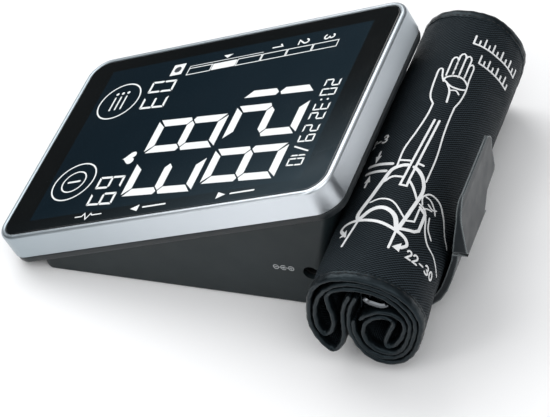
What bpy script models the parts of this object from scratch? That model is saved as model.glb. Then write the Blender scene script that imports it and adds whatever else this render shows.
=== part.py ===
"""Tabletop upper-arm blood pressure monitor with its rolled cuff standing in the holder.

Run with: blender --background --python part.py
Lengths below are millimetres in the design frame: +X is the user's right, +Y runs from
the low front edge to the high back edge, +Z is up and the table is z = 0.  The display
group is modelled in its own tilted frame, whose z = 0 is the top of the cover glass.
"""
import math

import bmesh
import bpy
from mathutils import Matrix, Vector

MM = 0.001
GAP = 0.3                       # clearance between pieces that touch on the real object

# Placing
BOX_CENTRE = (4.75, 24.16)      # middle of the whole object in the design frame
TILT = math.radians(19.04)      # slope of the glass
GLASS_Z = 41.0                  # height of the middle of the glass
BASE_Z = 0.8                    # underside of the base, carried by the feet

# Display group, half sizes across and along the glass
FRAME_HALF = (53.6, 79.9)
FRAME_CORNER = 10.0
FRAME_TOP = 0.2
FRAME_BOTTOM = -11.2
FRAME_WALL = 2.0
FRAME_SEAT = (-1.8, -3.0)       # top and bottom of the seat that the glass is bonded to
FRAME_SEAT_REACH = 5.6
GLASS_HALF = (51.0, 77.3)
GLASS_CORNER = 7.4
GLASS_THICK = 1.5
TOUCH_HALF = (47.5, 73.7)
TOUCH_THICK = 0.4
LCD_HALF = (45.0, 67.5)
LCD_THICK = 2.3
BACKLIGHT_THICK = 2.3
BOARD_HALF = (46.0, 70.0)
BOARD_TOP = -8.9
BOARD_THICK = 1.6
BOARD_SCREWS = (42.0, 64.0)
BOARD_HOLE_R = 1.15
BOARD_SCREW_END = -12.4
CHIP = ((-7.0, 7.0), (3.0, 17.0), 1.4)          # x span, y span, height
BUZZER = ((22.0, -20.0), 6.0, 4.2)              # centre, radius, height
SENSOR = ((-13.0, -3.0), (26.0, 33.5), 4.0)
SENSOR_PORT = (-8.0, 29.75)
CASE_HALF = (53.2, 79.5)
CASE_CORNER = 9.6
CASE_TOP = -11.5
CASE_BOTTOM = -14.9
CASE_WINDOW = 16.2              # inset of the window from the outside of the upper case
CASE_SHELF = -12.9              # inside floor of the upper case
KEY_INSET = 2.0                 # wall that keys inside the silver frame
KEY_WALL = 1.4
KEY_TOP = -8.6
STANDOFF_R = 2.6
BOSS_R = 3.0
BOSS_HOLE_R = 1.35

# Base
BASE_HALF_X = 50.9
BASE_LOW_Y = -66.0              # along the glass
WALL = 2.2
BASE_TOP = CASE_BOTTOM - GAP
BACK_TOP_Y = 74.6               # along the glass
BACK_BEND = (67.0, 24.0)
BACK_FOOT_Y = 66.8
CORNER_BACK = 4.0
CORNER_FRONT = 3.8

# Batteries
CELL_R = 7.1
CELL_PITCH = 15.0
CELL_COUNT = 4
CELL_FIRST_X = -38.5
CELL_Z = 10.9
CELL_Y = (4.7, 53.3)
NUB_R = 2.6
NUB_LENGTH = 1.3
BAY_X = (-46.5, 14.5)
BAY_Y = (1.0, 58.0)
BAY_TOP = 18.8
BAY_WALL = 1.2
DOOR_THICK = 1.8

# Pump and valve
PUMP_X = 32.0
PUMP_Z = 16.6
MOTOR_R = 11.9
MOTOR_Y = (14.0, 38.0)
HEAD_R = 13.0
HEAD_Y = (38.3, 55.0)
VALVE_X = (-24.0, -12.0)
VALVE_Y = (40.0, 58.0)
VALVE_Z = (20.3, 31.3)
PLUNGER_R = 1.6

# Sockets
JACK_Y = 60.7
JACK_Z = 18.2
JACK_HOLE_R = 3.3
AIR_Y = 50.0
AIR_Z = 30.0
AIR_HOLE_R = 5.2
AIR_BORE_R = 3.0

# Fasteners and feet
LOW_POSTS = (42.0, -50.0)
HIGH_POSTS = (30.0, 62.0)
POST_R = 3.4
SCREW_HEAD_R = 2.0
SCREW_SHANK_R = 1.0
FOOT_R = 4.5
FRONT_FEET = (40.0, -42.0)
BACK_FEET = (36.0, 88.0)

# Cuff holder
TRAY_X = (-44.0, 46.0)
ARM_X = (22.0, 46.0)
PAD_X = (6.5, 46.0)
TRAY_TOP = 3.4
CLIP_X = (-14.0, 14.0)

# Cuff
ROLL_X = (-69.0, 78.5)
BINDING_WIDTH = 4.5
ROLL_MIDDLE = (98.2, 20.9)      # y, z of the open middle of the large lobe
ROLL_MIDDLE_RADII = (8.6, 8.9)
FOLD_MIDDLE = (76.4, 26.5)
BLADDER_MIDDLE = (98.3, 23.0)
BLADDER_RADII = (11.9, 14.0)
BLADDER_THICK = 1.5
BLADDER_SPAN = (188.0, 342.0)   # degrees round the lobe
BAR_MIDDLE = (7.2, 97.7, 37.0)
BAR_HALF = (69.8, 4.6)
BAR_CORNER = 3.0
BAR_LEAN = math.radians(-16.0)
BAR_R = 1.3
PORT_AT = (-6.0, 94.9)          # x, y of the fitting's foot on the inner ply
PORT_FOOT_R = 2.4
PORT_Z = (14.6, 15.6)
PORT_STEM_Z = 17.0
PORT_STEM_X = (-8.0, 7.0)
PORT_STEM_R = 1.6
PORT_BORE_R = 0.9

ROUND = 32                      # sides of a round piece
SHARP = math.radians(30.0)      # edges sharper than this stay crisp


def clear_scene():
    for item in list(bpy.data.objects):
        bpy.data.objects.remove(item, do_unlink=True)


def add_empty(name, location, parent=None, tilt=0.0):
    empty = bpy.data.objects.new(name, None)
    empty.location = Vector(location) * MM
    empty.rotation_euler = (tilt, 0.0, 0.0)
    empty.parent = parent
    bpy.context.collection.objects.link(empty)
    return empty


def finish_mesh(mesh, name, parent):
    """Close off a bmesh as an object of the given name, normals outwards."""
    bmesh.ops.remove_doubles(mesh, verts=mesh.verts, dist=0.00001)
    bmesh.ops.recalc_face_normals(mesh, faces=mesh.faces)
    data = bpy.data.meshes.new(name)
    mesh.to_mesh(data)
    mesh.free()
    data.shade_smooth()
    data.set_sharp_from_angle(angle=SHARP)
    obj = bpy.data.objects.new(name, data)
    obj.parent = parent
    bpy.context.collection.objects.link(obj)
    return obj


def arc_points(centre, radius, start, end, steps):
    """Points on a circle from one angle to another, both in degrees."""
    points = []
    for step in range(steps + 1):
        angle = math.radians(start + (end - start) * step / steps)
        points.append((centre[0] + radius * math.cos(angle), centre[1] + radius * math.sin(angle)))
    return points


def rounded_rectangle(half_u, half_v, radius, centre=(0.0, 0.0), steps=6):
    points = []
    corners = ((1, 1, 0), (-1, 1, 90), (-1, -1, 180), (1, -1, 270))
    for side_u, side_v, start in corners:
        middle = (centre[0] + side_u * (half_u - radius), centre[1] + side_v * (half_v - radius))
        points += arc_points(middle, radius, start, start + 90, steps)
    return points


def to_space(axis, u, v, w):
    """Place outline coordinates u, v at distance w along the extrusion axis."""
    if axis == "X":
        return Vector((w, u, v)) * MM
    if axis == "Y":
        return Vector((u, w, v)) * MM
    return Vector((u, v, w)) * MM


def prism(name, outline, low, high, axis, parent):
    """Extrude a closed outline between two distances along an axis."""
    mesh = bmesh.new()
    first = [mesh.verts.new(to_space(axis, u, v, low)) for u, v in outline]
    last = [mesh.verts.new(to_space(axis, u, v, high)) for u, v in outline]
    mesh.faces.new(first)
    mesh.faces.new(last)
    for index in range(len(outline)):
        after = (index + 1) % len(outline)
        mesh.faces.new((first[index], first[after], last[after], last[index]))
    return finish_mesh(mesh, name, parent)


def box(name, span_x, span_y, span_z, parent):
    outline = [(span_x[0], span_y[0]), (span_x[1], span_y[0]), (span_x[1], span_y[1]), (span_x[0], span_y[1])]
    return prism(name, outline, span_z[0], span_z[1], "Z", parent)


def cylinder(name, centre, radius, low, high, axis, parent, sides=ROUND):
    outline = arc_points(centre, radius, 0, 360, sides)[:-1]
    return prism(name, outline, low, high, axis, parent)


def turned(name, centre, profile, axis, parent, sides=ROUND):
    """Turn a profile of (distance, radius) about an axis; both ends close on flat discs."""
    mesh = bmesh.new()
    rings = []
    for distance, radius in profile:
        ring = arc_points(centre, radius, 0, 360, sides)[:-1]
        rings.append([mesh.verts.new(to_space(axis, u, v, distance)) for u, v in ring])
    mesh.faces.new(rings[0])
    mesh.faces.new(rings[-1])
    for near, far in zip(rings, rings[1:]):
        for index in range(sides):
            after = (index + 1) % sides
            mesh.faces.new((near[index], near[after], far[after], far[index]))
    return finish_mesh(mesh, name, parent)


def inset_sections(half, corner, profile, steps, centre=(0.0, 0.0)):
    """One rounded rectangle for each (inset, height) of the profile."""
    sections = []
    for inset, height in profile:
        radius = max(corner - inset, 0.6)
        outline = rounded_rectangle(half[0] - inset, half[1] - inset, radius, centre, steps)
        sections.append([(u, v, height) for u, v in outline])
    return sections


def loft(name, sections, closed, parent):
    """Skin matching sections, either closed into a ring or capped at both ends."""
    mesh = bmesh.new()
    loops = [[mesh.verts.new(Vector(point) * MM) for point in section] for section in sections]
    count = len(loops[0])
    pairs = list(zip(loops, loops[1:]))
    if closed:
        pairs.append((loops[-1], loops[0]))
    else:
        mesh.faces.new(loops[0])
        mesh.faces.new(loops[-1])
    for near, far in pairs:
        for index in range(count):
            after = (index + 1) % count
            mesh.faces.new((near[index], near[after], far[after], far[index]))
    return finish_mesh(mesh, name, parent)


def boolean(target, other, operation):
    """Apply an exact Boolean and drop the other object."""
    modifier = target.modifiers.new("bool", "BOOLEAN")
    modifier.operation = operation
    modifier.solver = "EXACT"
    modifier.object = other
    bpy.context.view_layer.update()
    graph = bpy.context.evaluated_depsgraph_get()
    result = bpy.data.meshes.new_from_object(target.evaluated_get(graph))
    target.modifiers.clear()
    result.name = target.name
    target.data = result
    bpy.data.objects.remove(other, do_unlink=True)
    result.shade_smooth()
    result.set_sharp_from_angle(angle=SHARP)


def cut(target, *others):
    for other in others:
        boolean(target, other, "DIFFERENCE")


def join(target, *others):
    for other in others:
        boolean(target, other, "UNION")


def set_origin(obj, point):
    """Move an object's origin to a point of its parent's frame, leaving its mesh in place."""
    shift = Vector(point) * MM
    obj.data.transform(Matrix.Translation(-shift))
    obj.location = shift


def paint(obj, name, colour, roughness, metallic=0.0):
    material = bpy.data.materials.get(name)
    if material is None:
        material = bpy.data.materials.new(name)
        material.use_nodes = True
        shader = material.node_tree.nodes["Principled BSDF"]
        shader.inputs["Base Color"].default_value = (*colour, 1.0)
        shader.inputs["Roughness"].default_value = roughness
        shader.inputs["Metallic"].default_value = metallic
        material.diffuse_color = (*colour, 1.0)
    obj.data.materials.clear()
    obj.data.materials.append(material)


def glass_height(y):
    """World height of the glass plane above the table at a world y."""
    return GLASS_Z + y * math.tan(TILT)


def below_glass(y, depth):
    """World height of the plane that lies a depth under the glass, at a world y."""
    return glass_height(y) - depth / math.cos(TILT)


def tilted_point(along, height):
    """World (y, z) of a point given along the glass and above it."""
    y = along * math.cos(TILT) - height * math.sin(TILT)
    z = GLASS_Z + along * math.sin(TILT) + height * math.cos(TILT)
    return (y, z)


# ---------------------------------------------------------------- display group

def make_silver_frame(display):
    """Metal band round the glass, with a seat that the glass is bonded to."""
    seat_top, seat_bottom = FRAME_SEAT
    bezel = FRAME_HALF[0] - GLASS_HALF[0] - GAP
    profile = [
        (0.35, FRAME_BOTTOM), (0.0, FRAME_BOTTOM + 0.35), (0.0, -1.3), (0.08, -0.8),
        (0.32, -0.32), (0.68, 0.0), (1.15, 0.17), (1.55, FRAME_TOP), (1.95, 0.12), (bezel, -0.15),
        (bezel, seat_top), (FRAME_SEAT_REACH, seat_top), (FRAME_SEAT_REACH, seat_bottom),
        (FRAME_WALL, seat_bottom), (FRAME_WALL, FRAME_BOTTOM),
    ]
    frame = loft("silver_frame", inset_sections(FRAME_HALF, FRAME_CORNER, profile, 12), True, display)
    paint(frame, "silver_metal", (0.62, 0.64, 0.66), 0.3, metallic=1.0)


def make_cover_glass(display):
    profile = [(0.25, -GLASS_THICK), (0.0, -GLASS_THICK + 0.25), (0.0, -0.3), (0.09, -0.09), (0.3, 0.0)]
    glass = loft("cover_glass", inset_sections(GLASS_HALF, GLASS_CORNER, profile, 12), False, display)
    paint(glass, "tinted_glass", (0.02, 0.025, 0.03), 0.05)


def make_layer(name, half, corner, top, thick, display):
    profile = [(0.0, top - thick), (0.0, top)]
    return loft(name, inset_sections(half, corner, profile, 3), False, display)


def make_display_stack(display):
    """Touch film, liquid crystal panel, backlight and circuit board, top to bottom."""
    touch_top = -GLASS_THICK - GAP
    touch = make_layer("touch_film", TOUCH_HALF, 5.0, touch_top, TOUCH_THICK, display)
    paint(touch, "clear_film", (0.05, 0.06, 0.07), 0.2)
    lcd_top = touch_top - TOUCH_THICK - GAP
    lcd = make_layer("lcd_panel", LCD_HALF, 1.0, lcd_top, LCD_THICK, display)
    paint(lcd, "lcd_glass", (0.03, 0.05, 0.08), 0.1)
    light_top = lcd_top - LCD_THICK - GAP
    light = make_layer("backlight", LCD_HALF, 1.0, light_top, BACKLIGHT_THICK, display)
    paint(light, "white_diffuser", (0.85, 0.86, 0.88), 0.6)
    board = make_layer("main_board", BOARD_HALF, 2.0, BOARD_TOP, BOARD_THICK, display)
    for x, y in corner_points(BOARD_SCREWS):
        cut(board, cylinder("hole", (x, y), BOARD_HOLE_R, BOARD_TOP - 3, BOARD_TOP + 1, "Z", display, 16))
    paint(board, "circuit_board", (0.05, 0.22, 0.1), 0.5)


def corner_points(offset):
    """The four (x, y) corners of a rectangle centred on the frame's origin."""
    return [(sx * offset[0], sy * offset[1]) for sy in (-1, 1) for sx in (-1, 1)]


def make_board_screws(display):
    seat = BOARD_TOP + GAP
    for number, (x, y) in enumerate(corner_points(BOARD_SCREWS), 1):
        shank, head = 0.8, SCREW_HEAD_R
        profile = [(BOARD_SCREW_END, shank), (seat, shank), (seat, head), (seat + 0.6, head - 0.3)]
        screw = turned(f"board_screw_{number}", (x, y), profile, "Z", display, 16)
        paint(screw, "zinc_steel", (0.6, 0.6, 0.58), 0.35, metallic=1.0)


def make_board_parts(display):
    """Pieces soldered to the underside of the board."""
    top = BOARD_TOP - BOARD_THICK - GAP
    chip_x, chip_y, chip_high = CHIP
    chip = box("microcontroller", chip_x, chip_y, (top - chip_high, top), display)
    paint(chip, "black_epoxy", (0.02, 0.02, 0.02), 0.5)
    centre, radius, buzzer_high = BUZZER
    buzzer = cylinder("buzzer", centre, radius, top - buzzer_high, top, "Z", display)
    low = top - buzzer_high
    cut(buzzer, cylinder("hole", centre, 1.2, low - 1, low + 0.8, "Z", display, 12))
    paint(buzzer, "black_epoxy", (0.02, 0.02, 0.02), 0.5)
    sensor_x, sensor_y, sensor_high = SENSOR
    face = top - sensor_high
    sensor = box("pressure_sensor", sensor_x, sensor_y, (face, top), display)
    join(sensor, cylinder("port", SENSOR_PORT, 1.3, face - 2.5, face + 0.5, "Z", display, 16))
    cut(sensor, cylinder("bore", SENSOR_PORT, 0.6, face - 4, face + 1.5, "Z", display, 12))
    paint(sensor, "cream_plastic", (0.75, 0.72, 0.62), 0.5)


def make_upper_case(root, display):
    """Rounded dark tray under the silver frame, with a wall that keys inside it."""
    key_inside = KEY_INSET + KEY_WALL
    profile = [
        (1.3, CASE_BOTTOM), (0.42, -14.35), (0.0, -13.4), (0.0, -12.2), (0.22, -11.7), (0.6, CASE_TOP),
        (KEY_INSET, CASE_TOP), (KEY_INSET, KEY_TOP), (key_inside, KEY_TOP), (key_inside, CASE_SHELF),
        (CASE_WINDOW, CASE_SHELF), (CASE_WINDOW, CASE_BOTTOM),
    ]
    seat, root_z = BOARD_TOP - BOARD_THICK - GAP, CASE_SHELF - 0.8
    case = loft("upper_case", inset_sections(CASE_HALF, CASE_CORNER, profile, 10), True, display)
    for x, y in corner_points(BOARD_SCREWS):
        join(case, cylinder("standoff", (x, y), STANDOFF_R, root_z, seat, "Z", display, 20))
        cut(case, cylinder("hole", (x, y), BOARD_HOLE_R, BOARD_SCREW_END - 0.4, 0.0, "Z", display, 16))
    for x, y, top in post_places():
        along = y * math.cos(TILT) + (top - GLASS_Z) * math.sin(TILT)
        join(case, cylinder("boss", (x, along), BOSS_R, root_z, -11.0, "Z", display, 20))
        cut(case, cylinder("hole", (x, y), BOSS_HOLE_R, top - 8, top + 8, "Z", root, 16))
    paint(case, "dark_plastic", (0.035, 0.04, 0.045), 0.45)


def post_places():
    """World (x, y) of each case screw, with the height where its post meets the upper case."""
    places = []
    for offset in (LOW_POSTS, HIGH_POSTS):
        for side in (-1, 1):
            places.append((side * offset[0], offset[1], below_glass(offset[1], -CASE_BOTTOM)))
    return places


# ---------------------------------------------------------------- base

def base_outline(inset, top_rise):
    """Side outline of the wedge, or of the hollow inside it."""
    front_top = tilted_point(BASE_LOW_Y + inset, BASE_TOP + top_rise)
    front_foot = tilted_point(BASE_LOW_Y + inset, BASE_TOP - 3.5)
    back_top = tilted_point(BACK_TOP_Y - inset * 1.05, BASE_TOP + top_rise)
    floor = BASE_Z + inset
    return [
        (front_foot[0] + 2.5, floor), (BACK_FOOT_Y - inset, floor), (BACK_BEND[0] - inset, BACK_BEND[1]),
        back_top, front_top, (front_foot[0], max(front_foot[1], floor + 0.4)),
    ]


def wedge(name, inset, top_rise, root):
    """The wedge with its four upright corners rounded."""
    half = BASE_HALF_X - inset
    outline = base_outline(inset, top_rise)
    solid = prism(name, outline, -half, half, "X", root)
    mesh = bmesh.new()
    mesh.from_mesh(solid.data)
    back = []
    for edge in mesh.edges:
        ends = [vert.co / MM for vert in edge.verts]
        along_y = abs(ends[0].y - ends[1].y)
        across = abs(ends[0].x - ends[1].x)
        if across < 0.01 and along_y < 20 and min(ends[0].y, ends[1].y) > 40:
            back.append(edge)
    radius = (CORNER_BACK - inset) * MM
    bmesh.ops.bevel(mesh, geom=back, offset=radius, segments=6, profile=0.5, affect="EDGES")
    mesh.to_mesh(solid.data)
    mesh.free()
    front = min(y for y, _ in outline)
    reach = 90.0
    corner = max(CORNER_FRONT - inset, 1.0)
    plan = rounded_rectangle(half, reach, corner, (0.0, front + reach), 6)
    boolean(solid, prism("plan", plan, -20, 120, "Z", root), "INTERSECT")
    return solid


def add_posts(base, root):
    for x, y, top in post_places():
        post = cylinder("post", (x, y), POST_R, BASE_Z, top + 6, "Z", root, 24)
        trim = wedge("trim", 0.5, 0.0, root)
        boolean(post, trim, "INTERSECT")
        join(base, post)


def bore_posts(base, root):
    for x, y, top in post_places():
        seat = screw_seat(y)
        cut(base, cylinder("counterbore", (x, y), SCREW_HEAD_R + GAP, -1, seat, "Z", root, 24))
        cut(base, cylinder("hole", (x, y), SCREW_SHANK_R + GAP, seat - 1, top + 9, "Z", root, 16))


def screw_seat(y):
    """Height of the face that a case screw's head pulls against."""
    return 2.6 if y < 0 else 33.0


def make_base_shell(root):
    base = wedge("base_shell", 0.0, 0.0, root)
    cut(base, wedge("hollow", WALL, 8.0, root))
    outer_x = (BAY_X[0] - BAY_WALL, BAY_X[1] + BAY_WALL)
    outer_y = (BAY_Y[0] - BAY_WALL, BAY_Y[1] + BAY_WALL)
    join(base, box("bay", outer_x, outer_y, (BASE_Z + 0.4, BAY_TOP + BAY_WALL), root))
    add_posts(base, root)
    cut(base, box("bay_inside", BAY_X, BAY_Y, (BASE_Z - 2, BAY_TOP), root))
    notch_y = (BAY_Y[1] - 1, BAY_Y[1] + 3.2)
    cut(base, box("finger_notch", (-22, -10), notch_y, (BASE_Z - 1, BASE_Z + 1.2), root))
    bore_posts(base, root)
    cut_foot_pockets(base, FRONT_FEET, root)
    cut(base, cylinder("jack_hole", (JACK_Y, JACK_Z), JACK_HOLE_R, 40, 60, "X", root, 32))
    cut(base, cylinder("air_hole", (AIR_Y, AIR_Z), AIR_HOLE_R, -60, -40, "X", root, 32))
    for x in CLIP_X:
        cut(base, box("clip_slot", (x - 5.3, x + 5.3), (60.5, 70), (BASE_Z - 1, BASE_Z + 1.2), root))
    paint(base, "base_plastic", (0.03, 0.038, 0.042), 0.5)


def cut_foot_pockets(part, offset, root):
    """Shallow pockets that the left and right rubber feet are bonded into."""
    low, high = BASE_Z - 1, BASE_Z + 0.8
    for x in (-offset[0], offset[0]):
        cut(part, cylinder("foot_pocket", (x, offset[1]), FOOT_R + GAP, low, high, "Z", root, 28))


def make_feet(root):
    places = [(-FRONT_FEET[0], FRONT_FEET[1]), (FRONT_FEET[0], FRONT_FEET[1]),
              (-BACK_FEET[0], BACK_FEET[1]), (BACK_FEET[0], BACK_FEET[1])]
    names = ("front_left", "front_right", "back_left", "back_right")
    for name, place in zip(names, places):
        profile = [(0.0, FOOT_R - 0.5), (0.4, FOOT_R), (BASE_Z + 0.5, FOOT_R)]
        foot = turned(f"rubber_foot_{name}", place, profile, "Z", root, 28)
        paint(foot, "black_rubber", (0.02, 0.02, 0.02), 0.8)


def make_case_screws(root):
    for number, (x, y, top) in enumerate(post_places(), 1):
        seat = screw_seat(y) - GAP
        profile = [(seat - 1.0, 1.6), (seat - 0.6, SCREW_HEAD_R), (seat, SCREW_HEAD_R),
                   (seat, SCREW_SHANK_R), (top + 3.0, SCREW_SHANK_R)]
        screw = turned(f"case_screw_{number}", (x, y), profile, "Z", root, 16)
        paint(screw, "zinc_steel", (0.6, 0.6, 0.58), 0.35, metallic=1.0)


# ---------------------------------------------------------------- batteries

def make_battery_door(root):
    """Door under the cells, hinged on its front edge."""
    span_x = (BAY_X[0] + GAP, BAY_X[1] - GAP)
    span_y = (BAY_Y[0] + 0.5, BAY_Y[1] - GAP)
    door = box("battery_door", span_x, span_y, (BASE_Z, BASE_Z + DOOR_THICK), root)
    for step in range(4):
        y = 46.0 + 2.4 * step
        cut(door, box("grip", (-22, -10), (y, y + 1.2), (BASE_Z - 1, BASE_Z + 0.5), root))
    set_origin(door, (0.5 * sum(BAY_X), span_y[0] + 0.9, BASE_Z + 0.5 * DOOR_THICK))
    paint(door, "base_plastic", (0.03, 0.038, 0.042), 0.5)


def make_cells(root):
    for number in range(CELL_COUNT):
        x = CELL_FIRST_X + number * CELL_PITCH
        low, high = CELL_Y
        profile = [(low, CELL_R - 0.6), (low + 0.6, CELL_R), (high - 0.6, CELL_R), (high, CELL_R - 0.8),
                   (high, NUB_R), (high + NUB_LENGTH, NUB_R)]
        if number % 2:
            profile = [(low + high + NUB_LENGTH - distance, radius) for distance, radius in reversed(profile)]
        cell = turned(f"battery_{number + 1}", (x, CELL_Z), profile, "Y", root, 28)
        paint(cell, "battery_jacket", (0.16, 0.17, 0.18), 0.35, metallic=0.6)


def make_contact_strip(name, face, direction, root):
    """Contact plate with one pressed cone in front of each cell."""
    back = face - 0.5 * direction
    strip = box(name, (BAY_X[0] + 1, BAY_X[1] - 1), sorted((back, face)), (4.2, 17.0), root)
    for number in range(CELL_COUNT):
        x = CELL_FIRST_X + number * CELL_PITCH
        profile = [(face - 0.25 * direction, 3.4), (face + 1.9 * direction, 2.0)]
        join(strip, turned("cone", (x, CELL_Z), profile, "Y", root, 16))
    paint(strip, "nickel_plate", (0.72, 0.7, 0.66), 0.3, metallic=1.0)


# ---------------------------------------------------------------- air system

def make_pump(root):
    centre = (PUMP_X, PUMP_Z)
    motor = turned("pump_motor", centre,
                   [(MOTOR_Y[0], MOTOR_R - 1), (MOTOR_Y[0] + 1, MOTOR_R), (MOTOR_Y[1], MOTOR_R)], "Y", root)
    cut(motor, cylinder("bearing", centre, 1.3, MOTOR_Y[1] - 3, MOTOR_Y[1] + 1, "Y", root, 20))
    paint(motor, "zinc_steel", (0.6, 0.6, 0.58), 0.35, metallic=1.0)
    head = cylinder("pump_head", centre, HEAD_R, HEAD_Y[0], HEAD_Y[1], "Y", root)
    cut(head, cylinder("chamber", centre, 9.0, HEAD_Y[0] - 1, HEAD_Y[0] + 6, "Y", root))
    nozzle = (PUMP_X + 5, PUMP_Z + 9.5)
    join(head, cylinder("nozzle", nozzle, 2.0, HEAD_Y[1] - 1, HEAD_Y[1] + 5, "Y", root, 20))
    cut(head, cylinder("bore", nozzle, 1.0, HEAD_Y[1] - 4, HEAD_Y[1] + 6, "Y", root, 16))
    paint(head, "cream_plastic", (0.75, 0.72, 0.62), 0.5)
    crank = cylinder("pump_crank", centre, 1.0, MOTOR_Y[1] - 2.4, HEAD_Y[0] + 1.6, "Y", root, 20)
    join(crank, cylinder("disc", centre, 6.0, HEAD_Y[0] + 1.2, HEAD_Y[0] + 2.7, "Y", root))
    join(crank, cylinder("pin", (PUMP_X + 3.6, PUMP_Z), 1.2, HEAD_Y[0] + 2.2, HEAD_Y[0] + 5.2, "Y", root, 16))
    set_origin(crank, (PUMP_X, HEAD_Y[0] + 2.0, PUMP_Z))
    paint(crank, "brass", (0.72, 0.55, 0.25), 0.3, metallic=1.0)
    saddle = box("pump_saddle", (PUMP_X - 9, PUMP_X + 9), (18, 32), (BASE_Z + WALL + GAP, 9.0), root)
    cut(saddle, cylinder("seat", centre, MOTOR_R + GAP, 10, 40, "Y", root))
    paint(saddle, "black_rubber", (0.02, 0.02, 0.02), 0.8)


def make_valve(root):
    """Solenoid release valve with its plunger, and the block that joins the air paths."""
    body = box("release_valve", VALVE_X, VALVE_Y, VALVE_Z, root)
    centre = (0.5 * sum(VALVE_X), 0.5 * sum(VALVE_Z))
    cut(body, cylinder("bore", centre, PLUNGER_R + GAP, VALVE_Y[0] - 1, VALVE_Y[0] + 12, "Y", root, 20))
    paint(body, "zinc_steel", (0.6, 0.6, 0.58), 0.35, metallic=1.0)
    plunger = cylinder("valve_plunger", centre, PLUNGER_R, VALVE_Y[0] - 4, VALVE_Y[0] + 10, "Y", root, 20)
    join(plunger, cylinder("cap", centre, 3.0, VALVE_Y[0] - 5, VALVE_Y[0] - 3.4, "Y", root, 24))
    set_origin(plunger, (centre[0], VALVE_Y[0], centre[1]))
    paint(plunger, "brass", (0.72, 0.55, 0.25), 0.3, metallic=1.0)
    block = box("air_manifold", (-4, 8), (46, 56), (VALVE_Z[0], VALVE_Z[0] + 7), root)
    for x in (-1.5, 5.5):
        spigot = (x, VALVE_Z[0] + 3.5)
        join(block, cylinder("spigot", spigot, 1.5, 41, 47, "Y", root, 16))
        cut(block, cylinder("bore", spigot, 0.8, 40, 54, "Y", root, 12))
    paint(block, "cream_plastic", (0.75, 0.72, 0.62), 0.5)


def make_sockets(root):
    """Mains adapter socket on the right side and cuff air socket on the left."""
    jack_x = (37.0, BASE_HALF_X - WALL - GAP)
    jack = box("dc_jack", jack_x, (JACK_Y - 3.3, JACK_Y + 3.2), (JACK_Z - 5, JACK_Z + 5), root)
    centre = (JACK_Y, JACK_Z)
    cut(jack, cylinder("bore", centre, 2.75, 40, 60, "X", root, 28))
    join(jack, cylinder("pin", centre, 0.8, 39, 47.5, "X", root, 16))
    paint(jack, "black_epoxy", (0.02, 0.02, 0.02), 0.5)
    collar = [(-51.2, 4.4), (-50.9, 4.8), (-48.4, 4.8), (-48.4, 7.0), (-46.9, 7.0)]
    profile = collar + [(-46.9, 4.2), (-36.0, 4.2)]
    air = turned("air_socket", (AIR_Y, AIR_Z), profile, "X", root)
    cut(air, cylinder("bore", (AIR_Y, AIR_Z), AIR_BORE_R, -60, -30, "X", root, 24))
    paint(air, "black_epoxy", (0.02, 0.02, 0.02), 0.5)


# ---------------------------------------------------------------- cuff holder

def arm_outline():
    """Side outline of tray, curved neck and pad: outer side first, then the inner side."""
    return [
        (67.1, BASE_Z), (99.0, BASE_Z), (102.0, 1.9), (105.4, 4.0), (108.9, 7.3), (112.3, 12.8),
        (115.2, 19.6), (118.6, 29.6), (119.3, 32.9), (122.9, 33.1), (122.9, 50.0), (123.5, 56.5),
        (123.4, 59.4), (122.6, 59.9), (121.9, 59.0), (120.9, 51.6), (118.7, 42.0), (116.3, 30.4),
        (112.5, 20.4), (109.7, 13.9), (106.8, 9.3), (103.8, 6.2), (100.6, 4.2), (97.0, TRAY_TOP),
        (67.1, TRAY_TOP),
    ]


def pad_outline():
    """Front outline of the pad in x and z; its lower edge steps up beyond the neck."""
    low, high = 33.1, 59.9
    points = arc_points((PAD_X[1] - 7.0, high - 7.0), 7.0, 0, 90, 6)
    points += arc_points((PAD_X[0] + 5.5, high - 5.5), 5.5, 90, 180, 5)
    points += [(PAD_X[0], 41.5), (PAD_X[0] + 1.2, 40.2), (17.5, 39.4), (21.5, 35.5), (24.5, low)]
    points += [(PAD_X[1] - 1.5, low), (PAD_X[1], low + 1.5)]
    return points


def make_cuff_cradle(root):
    """Holder behind the base: tray, curved neck and the pad that keeps the roll upright."""
    outline = arm_outline()
    cradle = prism("cuff_cradle", outline, ARM_X[0], ARM_X[1], "X", root)
    above = box("above", (0, 60), (100, 130), (33.1, 70), root)
    cut(cradle, above)
    tray_outline = rounded_rectangle(0.5 * (TRAY_X[1] - TRAY_X[0]), 15.7, 5.0, (0.5 * sum(TRAY_X), 82.8), 5)
    join(cradle, prism("tray", tray_outline, BASE_Z, TRAY_TOP, "Z", root))
    pad = prism("pad", outline, PAD_X[0], PAD_X[1], "X", root)
    face = prism("face", pad_outline(), 100, 130, "Y", root)
    boolean(pad, face, "INTERSECT")
    join(cradle, pad)
    for x in CLIP_X:
        join(cradle, box("clip", (x - 5, x + 5), (61.2, 69), (BASE_Z, BASE_Z + 0.9), root))
    cut_foot_pockets(cradle, BACK_FEET, root)
    paint(cradle, "holder_plastic", (0.06, 0.075, 0.085), 0.4)


# ---------------------------------------------------------------- cuff

def roll_outline():
    """Side outline of the rolled cuff: one large lobe and a smaller fold beside it."""
    large = arc_points((98.7, 30.8), 16.0, -38, 60, 8)
    top = [(101.8, 47.3), (96.0, 48.8), (89.5, 49.0), (82.8, 47.4)]
    left = [(77.0, 43.6), (73.2, 38.4), (71.2, 33.0), (70.0, 26.0), (70.0, 20.0), (72.0, 12.8)]
    small = arc_points((76.6, 11.2), 4.3, 190, 350, 6)
    notch = [(82.6, 14.8), (84.4, 17.2), (86.2, 14.4)]
    bottom = [(89.0, 8.8), (93.0, 5.6), (98.0, 4.8), (102.6, 6.4), (106.5, 10.4)]
    return large + top + left + small + notch + bottom


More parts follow.
